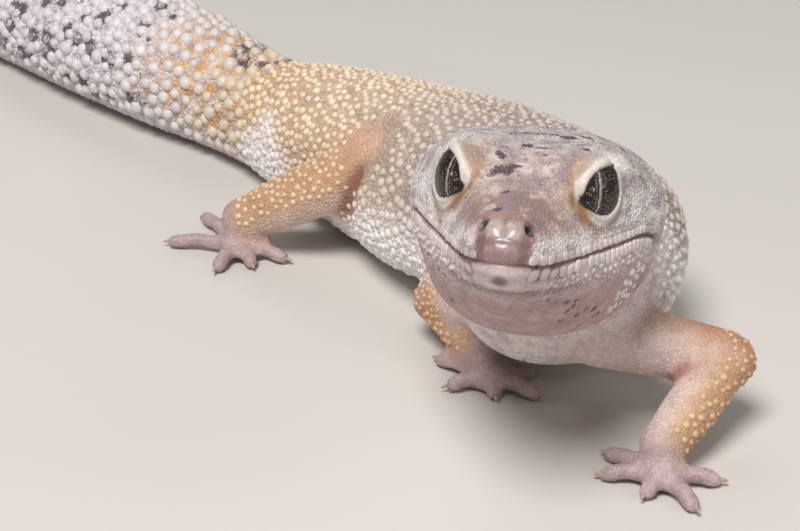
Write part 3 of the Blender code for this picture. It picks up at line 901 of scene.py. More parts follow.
def painted(points, normals, weights):
    """The hide's colour and the darkness of its marks, for each point of the skin."""
    place, run, height, side = to_body(points)
    head = to_head(points)
    face = head_colour(head)
    trunk = body_colour(points, place, height)
    neck = mix(plain(NECK, points), SHOULDER, step(height, 20, 60) * 0.8)
    neck = mix(neck, BELLY, 1 - step(height, -60, -20))
    tail = tail_colour(place, height, points)
    thigh = thigh_colour(points, normals, trunk)
    layers = (face, face, neck, trunk, tail, thigh, arm_colour(points, normals),
              lower_leg_colour(points, normals), plain(FOOT, points))
    colour = sum(w[:, None] * layer for w, layer in zip(weights.T, layers))
    # Painted shade: the inner crook of each elbow, between upper arm and forearm, is darkened.
    pit = (4 * weights[:, ARM_PART] * weights[:, SHIN_PART]) ** 2
    inner = step(-outer_side(points, normals), -0.1, 0.6)
    colour = mix(colour, ELBOW_PIT, pit * inner * 0.85)
    # Painted shade: the crease below the knee, where the bent leg lies on the flank, is darkened.
    under = step(KNEES[0, 2] - points[:, 2], -1.5, 1.5)
    colour = mix(colour, KNEE_CREASE_SHADE, np.clip(leg_crease(points, weights) * under * 1.2, 0, 0.9))
    faceward = face_share(weights)
    colour = mix(colour, nose_colour(mouth_colour(colour, head), head), faceward)
    colour = eye_surround(colour, points)
    dark = crown_darkness(head) * weights[:, HEAD_PART]
    dark = np.maximum(dark, 0.85 * spots(head, on_hide(head, THROAT_MARKS), 0.5) * faceward)
    chin = spots(head, on_hide(head, (CHIN_MARK,)), 0.62)
    colour = mix(colour, LIP_BROWN, np.clip(chin * 1.6, 0, 0.85) * faceward)
    dark = np.maximum(dark, 0.75 * spots(head, on_hide(head, LIP_GAPS), 0.4) * faceward)
    tailward = weights[:, TAIL_PART] + weights[:, TRUNK_PART] * step(place, VENT - 4, VENT)
    dark = np.maximum(dark, tail_darkness(place, height, side) * tailward)
    return colour, dark


def blooms(points, weights, height):
    """How strongly grey clouds and fine flecks show in the hide: most on head and tail, not
    at all on the lids' pale rims, faintly on the nose."""
    upper = step(height, -10, 50)
    clouds = weights @ np.array((1.0, 0.4, 0.4, 0.0, 0.6, 0.0, 0.05, 0.05, 0.15))
    clouds = clouds + weights[:, TRUNK_PART] * upper * 0.4
    flecks = weights @ np.array((1.0, 0.6, 0.5, 0.5, 0.7, 0.4, 0.35, 0.4, 0.25))
    nose = from_place(to_head(points), (0.5, 0.0, 2.0))
    keep = 0.35 + 0.65 * step(nose, 2.0, 3.2)
    keep *= 0.3 + 0.7 * step(from_place(to_head(points), (1.0, 1.0, -0.9)), 1.4, 2.4)
    keep *= 1 - bump(from_nostril(to_head(points)), 1.0)
    for side in (1, -1):
        close, place, edge = round_eye(points, side, SURROUND_REACH)
        keep[close] *= 1 - step(place[:, 2], -0.6, 0.3) * (1 - step(edge, rim_width(place), 1.3))
    return clouds * keep, flecks * keep


# ---- Coat: where the scales root --------------------------------------------------------

Roots = namedtuple("Roots", "at normal lie colour dark region height place bloom fleck")
PARTS = slice(13, 13 + len(REGIONS))  # the regions' weights among a place's fields


class Hide:
    """The finished skin, with everything that a scale takes from the place it grows on."""

    def __init__(self, points, triangles, weights, colour, dark, clouds, flecks):
        self.points, self.triangles = points, triangles
        place, run, height, _ = to_body(points)
        lie = mix(run, plain(-FORWARD, points), face_share(weights))
        self.fields = np.concatenate((
            points, normals_of(points, triangles), lie, colour, dark[:, None], weights,
            np.stack((height, place, clouds, flecks), axis=1),
        ), axis=1)
        self.areas = np.linalg.norm(face_normals(points, triangles), axis=1) / 2

    def scattered(self, density):
        """Random places on the skin, with their fields: so many to the square millimetre."""
        wanted = self.areas * density[self.triangles].mean(axis=1)
        counts = DICE.poisson(wanted)
        face = np.repeat(np.arange(len(counts)), counts)
        DICE.shuffle(face)
        a, b = DICE.random((2, len(face)))
        over = a + b > 1
        a, b = np.where(over, 1 - a, a), np.where(over, 1 - b, b)
        shares = np.stack((1 - a - b, a, b), axis=1)
        return np.einsum("ij,ijk->ik", shares, self.fields[self.triangles[face]])


def spaced(fields, spacing, taken=(), clearance=()):
    """Picks places that stand at least their spacing apart, and clear of those taken."""
    tree = KDTree(len(fields))
    for i, row in enumerate(fields[:, :3]):
        tree.insert(row, i)
    tree.balance()
    free = np.ones(len(fields), bool)
    for at, reach in zip(taken, clearance):
        for _, j, _ in tree.find_range(at, reach):
            free[j] = False
    chosen = []
    for i in range(len(fields)):
        if free[i]:
            chosen.append(i)
            for _, j, _ in tree.find_range(fields[i, :3], spacing[i]):
                free[j] = False
    return np.array(chosen)


def as_roots(fields):
    normal = unit(fields[:, 3:6])
    lie = fields[:, 6:9]
    lie = unit(lie - normal * (lie * normal).sum(axis=1)[:, None])
    return Roots(fields[:, :3], normal, lie, fields[:, 9:12], fields[:, 12],
                 fields[:, PARTS], *fields[:, PARTS.stop:].T)


# ---- Coat: the scales' own shapes -------------------------------------------------------

# Rings of a scale from its sunken hem to its top: share of the radius, share of the rise.
GRANULE = ((1.0, -0.6), (0.66, 0.72))
TUBERCLE = ((1.0, -0.35), (0.86, 0.34), (0.5, 0.86))


def scale_shapes(roots, profile, sides, radius, rise, long, lean, squareness):
    """Every scale as rings of points round its root and a point on top, and its faces."""
    count = len(roots.at)
    across = np.cross(roots.normal, roots.lie)
    turn = DICE.uniform(0, math.tau, count)[:, None] + np.arange(sides) * math.tau / sides
    if squareness:
        turn = np.tile((np.arange(sides) + 0.5) * math.tau / sides, (count, 1))
    cosine, sine = np.cos(turn)[..., None], np.sin(turn)[..., None]
    corner = (np.abs(cosine) ** 4 + np.abs(sine) ** 4) ** (-0.25 * squareness)
    cosine, sine = cosine * corner, sine * corner
    ring = roots.lie[:, None] * cosine * long + across[:, None] * sine
    rows, discs, rises = [], [], []
    flat = np.concatenate((cosine, sine), axis=2)
    for share, lift in (*profile, (0.0, 1.0)):
        out = ring * (radius[:, None, None] * share)
        up = roots.normal[:, None] * (rise[:, None, None] * lift)
        back = roots.lie[:, None] * (radius[:, None, None] * lean * max(lift, 0))
        row = roots.at[:, None] + out + up + back
        keep = sides if share else 1
        rows.append(row[:, :keep])
        discs.append(flat[:, :keep] * share)
        rises.append(np.full((count, keep), lift))
    points = np.concatenate(rows, axis=1)
    each = points.shape[1]
    faces = scale_faces(len(profile), sides)
    triangles = (faces[None] + (np.arange(count) * each)[:, None, None]).reshape(-1, 3)
    disc = np.concatenate(discs, axis=1).reshape(-1, 2)
    return points.reshape(-1, 3), triangles, disc, np.concatenate(rises, axis=1).ravel(), each


def scale_faces(rings, sides):
    faces = []
    for ring in range(rings - 1):
        for i in range(sides):
            j = (i + 1) % sides
            a, b = ring * sides + i, ring * sides + j
            faces += [(a, b, b + sides), (a, b + sides, a + sides)]
    last = (rings - 1) * sides
    faces += [(last + i, last + (i + 1) % sides, rings * sides) for i in range(sides)]
    return np.array(faces)


# ---- Coat: the map for the finished model's colours -------------------------------------

PATCH = 0.0015  # half the width of a scale's patch on the map
UNWRAP_FACES = 14000


class SkinMap:
    """An unwrap of the skin's own shape, on a light copy of it."""

    def __init__(self, skin):
        copy = skin.copy()
        copy.data = skin.data.copy()
        bpy.context.scene.collection.objects.link(copy)
        modified(copy, "DECIMATE", ratio=UNWRAP_FACES / len(copy.data.polygons))
        bpy.ops.object.mode_set(mode="EDIT")
        bpy.ops.mesh.select_all(action="SELECT")
        bpy.ops.uv.smart_project(angle_limit=math.radians(66), island_margin=0.004)
        bpy.ops.object.mode_set(mode="OBJECT")
        bm = bmesh.new()
        bm.from_mesh(copy.data)
        bmesh.ops.triangulate(bm, faces=bm.faces)
        layer = bm.loops.layers.uv.active
        self.corners = np.array([[v.co for v in f.verts] for f in bm.faces]) / MM
        self.uvs = np.array([[loop[layer].uv for loop in f.loops] for f in bm.faces])
        places = [v.co / MM for v in bm.verts]
        self.tree = BVHTree.FromPolygons(places, [[v.index for v in f.verts] for f in bm.faces])
        bm.free()
        bpy.data.objects.remove(copy)

    def at(self, points):
        found = [self.tree.find_nearest(Vector(p)) for p in points]
        face = np.array([f[2] for f in found])
        on = np.array([tuple(f[0]) for f in found])
        a, b, c = self.corners[face].transpose(1, 0, 2)
        ab, ac, ap = b - a, c - a, on - a
        d = [(x * y).sum(axis=1) for x, y in ((ab, ab), (ab, ac), (ac, ac), (ap, ab), (ap, ac))]
        below = np.maximum(d[0] * d[2] - d[1] ** 2, 1e-12)
        v = (d[2] * d[3] - d[1] * d[4]) / below
        w = (d[0] * d[4] - d[1] * d[3]) / below
        shares = np.clip(np.stack((1 - v - w, v, w), axis=1), 0, 1)
        return (self.uvs[face] * shares[..., None]).sum(axis=1)


def give_map(piece, uv):
    layer = piece.data.uv_layers.new(name="OFBake")
    corner = rows_of(piece.data.loops, "vertex_index", 1).ravel()
    layer.data.foreach_set("uv", uv[corner].astype(np.float32).ravel())


def scale_piece(name, roots, skin_map, profile, sides, radius, rise, tip, long=1.0, lean=0.0,
                squareness=0.0, paleness=1.0, pale_reach=1.0):
    """One joined piece of many scales, with its colours, marks and map."""
    points, triangles, disc, lift, each = scale_shapes(
        roots, profile, sides, radius, rise, long, lean, squareness
    )
    points[:, 2] = np.maximum(points[:, 2], 0.0)
    piece = as_mesh(name, points, triangles)
    tone = DICE.normal(0.5, 0.16, len(roots.at))
    give(piece, "FLOAT_COLOR", hide=np.repeat(roots.colour, each, axis=0),
         tip=np.repeat(tip, each, axis=0))
    give(piece, "FLOAT", dark=np.repeat(roots.dark, each), tone=np.repeat(tone, each),
         lift=np.clip(lift * pale_reach, 0, 1) * paleness,
         bloom=np.repeat(roots.bloom, each), fleck=np.repeat(roots.fleck, each))
    give_map(piece, np.repeat(skin_map.at(roots.at), each, axis=0) + disc * PATCH)
    return piece


# ---- Materials --------------------------------------------------------------------------


def fill(tree, node, **links):
    """Sets a node's inputs, or links them to a socket or to the first output in use of a
    node. Value__1 is the second input named Value."""
    for key, value in links.items():
        name, _, number = key.partition("__")
        sockets = [s for s in node.inputs if s.name.replace(" ", "_") == name and s.enabled]
        socket = sockets[int(number or 0)]
        if isinstance(value, bpy.types.Node):
            value = next(s for s in value.outputs if s.enabled)
        if isinstance(value, bpy.types.NodeSocket):
            tree.links.new(value, socket)
        else:
            socket.default_value = (*value, 1.0) if socket.type == "RGBA" else value


def add(tree, kind, settings=None, **links):
    """A node of a kind, with its settings and its inputs."""
    node = tree.nodes.new("ShaderNode" + kind)
    for key, value in (settings or {}).items():
        setattr(node, key, value)
    fill(tree, node, **links)
    return node


def span(low, high, first, last):
    """The ends of a range and what they become."""
    return {"From_Min": low, "From_Max": high, "To_Min": first, "To_Max": last}


SCALE = {"operation": "SCALE"}
MULTIPLY = {"operation": "MULTIPLY"}
MULTIPLY_ADD = {"operation": "MULTIPLY_ADD"}
ABSOLUTE = {"operation": "ABSOLUTE"}
COLOURS = {"data_type": "RGBA"}


def new_material(name):
    material = bpy.data.materials.new(name)
    material.use_nodes = True
    tree = material.node_tree
    tree.nodes.clear()
    shader = add(tree, "BsdfPrincipled")
    add(tree, "OutputMaterial", Surface=shader)
    return material, tree, shader


def hide_pattern(tree):
    """The hide's colour with grey clouds, fine brown flecks and ragged dark marks, from the
    attributes that skin and scales share. Flecks are about 0.5 mm across, clouds 2 mm."""
    place = add(tree, "TexCoord").outputs["Object"]
    hide = add(tree, "Attribute", {"attribute_name": "hide"}).outputs["Color"]
    dark, grey, fine = (add(tree, "Attribute", {"attribute_name": name}).outputs["Fac"]
                        for name in ("dark", "bloom", "fleck"))
    cloud = add(tree, "TexNoise", Vector=place, Scale=560.0, Detail=5.0, Roughness=0.62)
    fleck = add(tree, "TexNoise", Vector=place, Scale=1500.0, Detail=5.0, Roughness=0.7)
    shade = add(tree, "MapRange", Value=cloud, **span(0.3, 0.7, 1.12, 0.88))
    colour = add(tree, "VectorMath", SCALE, Vector=hide, Scale=shade)
    for pattern, ends, share, tint in (
        (cloud, (0.46, 0.36, 0.0, 0.55), grey, PALE_BLOOM),
        (cloud, (0.47, 0.62, 0.0, 0.72), grey, GREY_BLOOM),
        (fleck, (0.54, 0.66, 0.0, 0.7), fine, FLECK_BROWN),
    ):
        shown = add(tree, "MapRange", Value=pattern, **span(*ends))
        amount = add(tree, "Math", MULTIPLY, Value=shown, Value__1=share)
        colour = add(tree, "Mix", COLOURS, Factor=amount, A=colour, B=tint)
    ragged = add(tree, "Math", MULTIPLY_ADD, Value=fleck, Value__1=1.3, Value__2=-0.65)
    edge = add(tree, "Math", {"operation": "ADD"}, Value=dark, Value__1=ragged)
    marked = add(tree, "MapRange", Value=edge, **span(0.4, 0.66, 0.0, 0.88))
    return place, add(tree, "Mix", COLOURS, Factor=marked, A=colour, B=CHARCOAL), marked


def flesh(tree, shader):
    """Light goes a little way into living skin and comes out redder."""
    fill(tree, shader, Subsurface_Weight=0.12, Subsurface_Radius=(1.0, 0.45, 0.3),
         Subsurface_Scale=0.0008, Specular_IOR_Level=0.45)


def skin_material():
    """Reptile skin between the scales: thin, matt and faintly translucent, with creases
    about 0.4 mm apart, smoother and glossier where it is wet."""
    material, tree, shader = new_material("gecko_skin")
    place, colour, _ = hide_pattern(tree)
    grain = add(tree, "TexVoronoi", {"feature": "F1"}, Vector=place, Scale=2600.0)
    crease = add(tree, "MapRange", Value=grain, **span(0.2, 0.7, 1.0, 0.86))
    shaded = add(tree, "VectorMath", SCALE, Vector=colour, Scale=crease)
    wet = add(tree, "Attribute", {"attribute_name": "wet"}).outputs["Fac"]
    gloss = add(tree, "MapRange", Value=wet, **span(0.0, 1.0, 0.52, 0.28))
    calm = add(tree, "MapRange", Value=wet, **span(0.0, 1.0, 0.35, 0.03))
    relief = add(tree, "Bump", {"invert": True}, Strength=calm, Distance=0.00012, Height=grain)
    fill(tree, shader, Base_Color=shaded, Normal=relief, Roughness=gloss)
    flesh(tree, shader)
    return material


def scale_material():
    """Horny scales: dry and satin, paler on top, each a little different from the next."""
    material, tree, shader = new_material("gecko_scales")
    _, colour, marked = hide_pattern(tree)
    tip = add(tree, "Attribute", {"attribute_name": "tip"}).outputs["Color"]
    tone, lift = (add(tree, "Attribute", {"attribute_name": name}).outputs["Fac"]
                  for name in ("tone", "lift"))
    paler = add(tree, "MapRange", Value=lift, **span(0.15, 0.8, 0.0, 0.85))
    unmarked = add(tree, "Math", MULTIPLY_ADD, Value=marked, Value__1=-0.9, Value__2=1.0)
    share = add(tree, "Math", MULTIPLY, Value=paler, Value__1=unmarked)
    tipped = add(tree, "Mix", COLOURS, Factor=share, A=colour, B=tip)
    light = add(tree, "MapRange", Value=tone, **span(0.0, 1.0, 0.84, 1.14))
    final = add(tree, "VectorMath", SCALE, Vector=tipped, Scale=light)
    fill(tree, shader, Base_Color=final, Roughness=0.42)
    flesh(tree, shader)
    return material


def eye_material():
    """The clear scale over the eye is wet and glassy; behind it the iris is dark brown with
    pinkish flecks, and the pupil a nearly closed slit with pale edges. Scales here are
    shares of the eyeball's radius."""
    material, tree, shader = new_material("gecko_eye")
    gaze = add(tree, "Attribute", {"attribute_name": "gaze"}).outputs["Vector"]
    mottle = add(tree, "TexNoise", Vector=gaze, Scale=5.0, Detail=6.0, Roughness=0.75)
    grain = add(tree, "TexVoronoi", {"feature": "F1"}, Vector=gaze, Scale=13.0)
    across = add(tree, "SeparateXYZ", Vector=gaze).outputs["X"]
    wave = add(tree, "TexNoise", Vector=gaze, Scale=4.5, Detail=2.0)
    sway = add(tree, "Math", MULTIPLY_ADD, Value=wave, Value__1=0.16, Value__2=-0.08)
    moved = add(tree, "Math", {"operation": "ADD"}, Value=across, Value__1=sway)
    off = add(tree, "Math", ABSOLUTE, Value=moved)
    beside = add(tree, "Math", {"operation": "SUBTRACT"}, Value=moved, Value__1=0.03)
    off_beside = add(tree, "Math", ABSOLUTE, Value=beside)
    slit = add(tree, "MapRange", Value=off, **span(0.018, 0.035, 1.0, 0.0))
    edge = add(tree, "MapRange", Value=off_beside, **span(0.04, 0.085, 0.85, 0.0))
    flecks = add(tree, "MapRange", Value=grain, **span(0.42, 0.1, 0.0, 1.0))
    patches = add(tree, "MapRange", Value=mottle, **span(0.4, 0.54, 0.05, 0.9))
    ragged = add(tree, "MapRange", Value=mottle, **span(0.36, 0.52, 0.15, 1.0))
    broken = add(tree, "Math", MULTIPLY, Value=edge, Value__1=ragged)
    amount = add(tree, "Math", MULTIPLY, Value=flecks, Value__1=patches)
    iris = add(tree, "Mix", COLOURS, Factor=amount, A=IRIS, B=IRIS_FLECK)
    lined = add(tree, "Mix", COLOURS, Factor=broken, A=iris, B=PUPIL_EDGE)
    pupil = add(tree, "Mix", COLOURS, Factor=slit, A=lined, B=PUPIL)
    fill(tree, shader, Base_Color=pupil, Roughness=0.35, Specular_IOR_Level=0.15,
         Coat_Weight=0.5, Coat_Roughness=0.03)
    return material


def claw_material():
    """Claws are clear horn: smooth, pale and a little yellow."""
    material, tree, shader = new_material("gecko_claw")
    place = add(tree, "TexCoord").outputs["Object"]
    streak = add(tree, "TexNoise", Vector=place, Scale=1800.0, Detail=3.0)
    colour = add(tree, "Mix", COLOURS, Factor=streak, A=HORN, B=HORN_DARK)
    fill(tree, shader, Base_Color=colour, Roughness=0.3)
    return material


# ---- Eyes and claws ---------------------------------------------------------------------


def make_eye(side, node, material):
    """The visible part of an eye: a ball flattened along the gaze, deep between the lids."""
    bpy.ops.mesh.primitive_uv_sphere_add(segments=64, ring_count=40, radius=1.0)
    ball = bpy.context.object
    ball.name = node + "_globe"
    own = points_of(ball.data) * MM * GLOBE + (0, 0, GLOBE_OUT)
    axes = np.stack(eye_axes(side))
    if np.linalg.det(axes) < 0:
        bm = bmesh.new()
        bm.from_mesh(ball.data)
        bmesh.ops.reverse_faces(bm, faces=bm.faces)
        bm.to_mesh(ball.data)
        bm.free()
    set_points(ball.data, EYE_CENTRES[side] + own @ axes)
    ball.data.shade_smooth()
    give(ball, "FLOAT_VECTOR", gaze=(own - (PUPIL_ACROSS, 0, 0)) / EYE_RADIUS)
    ball.data.materials.append(material)
    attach(ball, "root")
    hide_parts(node)


CLAW_ROOT = 0.75  # how far a claw reaches back into its toe
CLAW_BACK = 0.4  # as its tip follows the softened toe


def make_claws(material):
    """All claws as one piece: the solids' own, rooted in the toes and rounded."""
    bm = bmesh.new()
    names = [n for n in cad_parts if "claw" in n]
    for name in names:
        single = bmesh.new()
        single.from_mesh(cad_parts[name].data)
        bmesh.ops.remove_doubles(single, verts=single.verts, dist=1e-6)
        foot = name.split("_claw_")[0] + "_" + name.rsplit("_", 1)[1]
        away = Vector(node_middle(name) - node_middle(foot))
        away.z = 0
        away.normalize()
        places = [v.co.dot(away) for v in single.verts]
        middle = (min(places) + max(places)) / 2
        for vert in single.verts:
            vert.co -= away * (CLAW_ROOT if vert.co.dot(away) < middle else CLAW_BACK) * MM
        mesh = bpy.data.meshes.new(name)
        single.to_mesh(mesh)
        single.free()
        bm.from_mesh(mesh)
        bpy.data.meshes.remove(mesh)
    mesh = bpy.data.meshes.new("claws")
    bm.to_mesh(mesh)
    bm.free()
    claws = new_object("claws", mesh)
    modified(claws, "SUBSURF", levels=2, render_levels=2)
    mesh.shade_smooth()
    mesh.materials.append(material)
    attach(claws, "root")
    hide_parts(*names)


# ---- The coat ---------------------------------------------------------------------------


CHEEK_CLUSTER = (19.6, 10.4, -3.0)  # white tubercles behind the corner of the jaw
CHEEK_REACH = 2.9
# By region, in the order of REGIONS: how far apart the tubercles stand, and their radius as
# a share of that.
TUBERCLE_SPACING = np.array((0.86, 0.86, 1.12, 1.24, 1.8, 1.12, 0.8, 0.9, 1.1))
TUBERCLE_SIZE = np.array((0.5, 0.5, 0.46, 0.49, 0.55, 0.47, 0.4, 0.45, 0.4))
TUBERCLE_TRIES = 7.0  # places tried to the square millimetre
GRANULE_TRIES = 4.2  # the same, to the square of the granules' spacing


def tubercle_places(hide):
    """Round tubercles, close together on back, flanks and thighs, on the outer side of the
    lower legs and round the tail, with a white cluster on each cheek."""
    fields = hide.scattered(np.full(len(hide.points), TUBERCLE_TRIES))
    roots = as_roots(fields)
    head, jaw, neck, trunk, tail, thigh, arm, leg, foot = roots.region.T
    least = np.where(roots.at[:, 1] < FRONT_LEGS_END, 0.2, 0.1)
    outer = outer_side(roots.at, roots.normal) > least
    wanted = (neck * step(roots.height, -25, 0) + trunk * step(roots.height, -45, -32)
              + tail * step(roots.height, -40, -25) + thigh * (roots.normal[:, 2] > -0.4)
              + leg * outer + arm * outer * (nearest(roots.at, ELBOWS) < 6.0))
    cheek = from_place(to_head(roots.at), CHEEK_CLUSTER)
    keep = (wanted > 0.5) & (foot + head + jaw < 0.3) & (nearest(roots.at, KNEES) > 6.0)
    keep |= (cheek < CHEEK_REACH) & (jaw + neck + head > 0.5)
    fields = fields[keep]
    roots = as_roots(fields)
    spacing = roots.region @ TUBERCLE_SPACING
    trunk = roots.region[:, TRUNK_PART]
    spacing *= 1 - 0.1 * (1 - step(roots.height, -20, 20)) * trunk
    spacing *= 1 - 0.12 * step(roots.height, 45, 75) * trunk
    spacing *= 1 - 0.35 * step(roots.place, VENT + 45, VENT + 95)
    chosen = spaced(fields, spacing)
    return as_roots(fields[chosen]), spacing[chosen]


GRANULE_SPACING = np.array((0.37, 0.42, 0.48, 0.55, 0.62, 0.5, 0.42, 0.42, 0.36))


def beads(points):
    """Where the scales under the lower lip swell to pale beads, behind its smooth front."""
    head = to_head(points)
    low = -mouth_gap(head)
    inside = (head[:, 0] < 24) & (head[:, 2] > -9)
    return bump(low - 1.9, 1.1) * step(head[:, 0], 2.5, 6) * inside


def granule_spacing(fields):
    """Granules are finest on crown and feet, and bead-like along the lower lip."""
    return fields[:, PARTS] @ GRANULE_SPACING * (1 + 0.45 * beads(fields[:, :3]))


def granule_places(hide, taken, clearance):
    fields = hide.scattered(GRANULE_TRIES / granule_spacing(hide.fields) ** 2)
    fields = fields[~bare_skin(fields[:, :3])]
    own = granule_spacing(fields)
    chosen = spaced(fields, own, taken, clearance)
    return as_roots(fields[chosen]), own[chosen]


def bare_skin(points):
    """Where no granule grows: eye openings and rims, the lips' plates, nose and nostrils."""
    head = to_head(points)
    left = np.abs(head[:, 1])
    on_head = (head[:, 0] < 23) & (head[:, 2] < 15)
    gap = mouth_gap(head)
    bare = on_head & (np.abs(gap) < 0.3) & (head[:, 0] < MOUTH_CORNER + 0.5)
    bare |= on_head & (np.abs(gap) < 1.15) & (head[:, 0] < MOUTH_CORNER - 1.5)
    nose = (left / 2.4) ** 3 + np.abs((head[:, 2] - 1.3) / 2.75) ** 3
    bare |= (nose < 1) & (head[:, 0] < 3) & (gap > -0.2)
    bare |= (left < 2.8) & (head[:, 0] < 3) & (gap <= 0) & (gap > -2.2)
    bare |= on_head & (from_nostril(head) < 0.62)
    for side in (1, -1):
        close, place, edge = round_eye(points, side, LID_REACH)
        bare[close] |= (edge < rim_width(place) + 0.1) & (place[:, 2] > -0.8)
    return bare


# Plates along the lips: the first one's distance round the mouth from its middle, and the
# widths from there back to the corner. Their height is under and over the mouth line.
UPPER_PLATES = (2.45, 1.45, 0.72)
LOWER_PLATES = (2.85, 1.75, 0.72)
PLATE = ((1.0, -0.5), (0.93, 0.45), (0.66, 0.95))
PLATE_SIDES = 12
LIP_PLACES = 120  # in the row of places round the mouth


def lip_line(hide, level):
    """A close row of places round the mouth at a level over its line, from the right corner
    to the left, with the distance round from the middle."""
    head = to_head(hide.points)
    near = np.flatnonzero((np.abs(mouth_gap(head) - level) < 0.2) & (head[:, 0] < MOUTH_CORNER)
                          & (face_share(hide.fields[:, PARTS]) > 0.5))
    bearing = np.arctan2(head[near, 1], 12.0 - head[near, 0])
    edges = np.linspace(bearing.min(), bearing.max(), LIP_PLACES + 1)
    bins = np.clip(np.digitize(bearing, edges) - 1, 0, LIP_PLACES - 1)
    count = np.bincount(bins, minlength=LIP_PLACES)
    rows = [np.bincount(bins, field, LIP_PLACES) for field in hide.fields[near].T]
    fields = (np.array(rows) / np.maximum(count, 1)).T[count > 0]
    along = distances_along(fields[:, :3])
    middle = np.abs(to_head(fields[:, :3])[:, 1]).argmin()
    return fields, along - along[middle]


def plate_places(hide, level, plates):
    """Roots of the plates along one lip, and how wide each is."""
    fields, along = lip_line(hide, level)
    first, widest, narrowest = plates
    roots, widths = [], []
    for side in (1, -1):
        end = np.abs(along[-1] if side > 0 else along[0]) - 0.8
        at = first
        while at < end:
            width = widest + (narrowest - widest) * min(1, ((at - first) / (end - first)) * 1.5)
            middle = side * (at + width / 2)
            here = [np.interp(middle, along, fields[:, k]) for k in range(fields.shape[1])]
            ahead = [np.interp(middle + side * 0.3, along, fields[:, k]) for k in range(3)]
            here[6:9] = np.array(ahead) - here[:3]
            roots.append(here)
            widths.append(width)
            at += width
    return as_roots(np.array(roots)), np.array(widths)


def make_lips(hide, skin_map, material):
    for name, level, plates, tall in (("upper_lip_plates", 0.66, UPPER_PLATES, 0.46),
                                      ("lower_lip_plates", -0.72, LOWER_PLATES, 0.62)):
        roots, widths = plate_places(hide, level, plates)
        size = tall * (0.75 + 0.25 * widths / widths.max()) * DICE.normal(1.0, 0.08, len(widths))
        half = widths * (0.5 - 0.04 * step(widths, 0.85, 1.3))
        long = (half / size * DICE.normal(1.0, 0.05, len(widths)))[:, None, None]
        tip = plain(LIPS * 0.65 + MENTAL * 0.35, size)
        piece = scale_piece(name, roots, skin_map, PLATE, PLATE_SIDES, size, size * 0.2, tip,
                            long=long, squareness=0.85, paleness=0.5 if level > 0 else 0.85)
        ride_and_slot(piece, material)


def ride_and_slot(piece, material):
    piece.data.materials.append(material)
    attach(piece, "root")


def part_of(roots, here):
    return Roots(*(field[here] for field in roots))


# The joined pieces: name, the regions whose scales it takes, and the finish's slot.
TUBERCLE_GROUPS = (
    ("trunk_tubercles", (0, 1, 2, 3), "trunk_skin"), ("tail_tubercles", (4,), "tail_skin"),
    ("leg_tubercles", (5, 6, 7, 8), "leg_skin"),
)


def make_tubercles(hide, skin_map, material):
    """Horny domes, pale against the skin; returns their roots and sizes for the granules."""
    tubercles, spacing = tubercle_places(hide)
    head, jaw, neck, trunk, tail, _, arm, leg, _ = tubercles.region.T
    size = spacing * (tubercles.region @ TUBERCLE_SIZE)
    size *= DICE.normal(1.0, 0.1, len(size))
    rise = size * (0.58 + 0.1 * tail)
    tip = mix(plain(CREAM_FRONT, size), CREAM_REAR, step(tubercles.place, 30, 62))
    white = tail * step(tubercles.place, VENT, VENT + 18) + neck * 0.7 + head + jaw
    white += trunk * (1 - step(tubercles.height, -18, 18))
    tip = mix(tip, TUBERCLE_WHITE, np.clip(white, 0, 1)) * (1 - 0.22 * tail)[:, None]
    tip = mix(tip, TUBERCLE_WHITE, spots(tubercles.at, HIP_PATCHES, 2.8))
    tip = mix(tip, TUBERCLE_LEG, leg)
    tip = mix(tip, TUBERCLE_ARM, (leg + arm) * (tubercles.at[:, 1] < FRONT_LEGS_END))
    region = tubercles.region.argmax(axis=1)
    for name, members, slot in TUBERCLE_GROUPS:
        here = np.isin(region, members)
        roots = part_of(tubercles, here)
        roots = roots._replace(dark=roots.dark * (0.72 if name == "tail_tubercles" else 1.0))
        piece = scale_piece(name, roots, skin_map, TUBERCLE, 8, size[here],
                            rise[here], tip[here], long=1.06, lean=0.12, pale_reach=1.5)
        ride_and_slot(piece, material)
    return tubercles.at, size


GRANULE_GROUPS = (
    ("crown_scales", (0,), "head_skin"), ("jaw_scales", (1,), "jaw_skin"),
    ("neck_scales", (2,), "trunk_skin"), ("trunk_scales", (3,), "trunk_skin"),
    ("tail_scales", (4,), "tail_skin"), ("leg_scales", (5, 6, 7), "leg_skin"),
    ("foot_scales", (8,), "foot_skin"),
)
GRANULE_RISE = np.array((0.24, 0.22, 0.3, 0.4, 0.45, 0.36, 0.22, 0.26, 0.16))
GRANULE_PALE = np.array((0.0, 0.0, 0.03, 0.08, 0.08, 0.06, 0.02, 0.03, 0.0))  # of their tops


def make_coat(hide, skin_map, material):
    make_lips(hide, skin_map, material)
    taken, size = make_tubercles(hide, skin_map, material)
    granules, spacing = granule_places(hide, taken, size * 0.9 + 0.06)
    region = granules.region.argmax(axis=1)
    for name, members, slot in GRANULE_GROUPS:
        here = np.isin(region, members)
        roots = part_of(granules, here)
        radius = spacing[here] * 0.61 * DICE.normal(1.0, 0.07, here.sum())
        beaded = beads(roots.at) * (face_share(roots.region) > 0.5)
        rise = radius * (roots.region @ GRANULE_RISE + 0.4 * beaded)
        tip = roots.colour * (1 + roots.region @ GRANULE_PALE)[:, None]
        tip = mix(tip, TUBERCLE_WHITE, beaded * 0.75)
        piece = scale_piece(name, roots, skin_map, GRANULE, 6, radius, rise, tip,
                            paleness=0.45)
        ride_and_slot(piece, material)


# ---- Stage ------------------------------------------------------------------------------

CAMERA_FROM_MOUTH = np.array((-69.0, -140.0, 72.5))
CAMERA_TURN = math.radians(23)
CAMERA_DIP = math.radians(25)
LENS = 87.7
FLOOR_SIZE = 6.0
# Lamps: name, place, width, power, and where it shines.
LAMPS = (
    ("key", (-0.3, -0.38, 0.66), 0.3, 6.5, (0.0, -0.05, 0.01)),
    ("fill", (0.5, -0.45, 0.4), 0.5, 0.85, (0.0, -0.05, 0.01)),
    ("rim", (0.1, 0.6, 0.5), 0.4, 1.0, (0.0, 0.0, 0.01)),
)
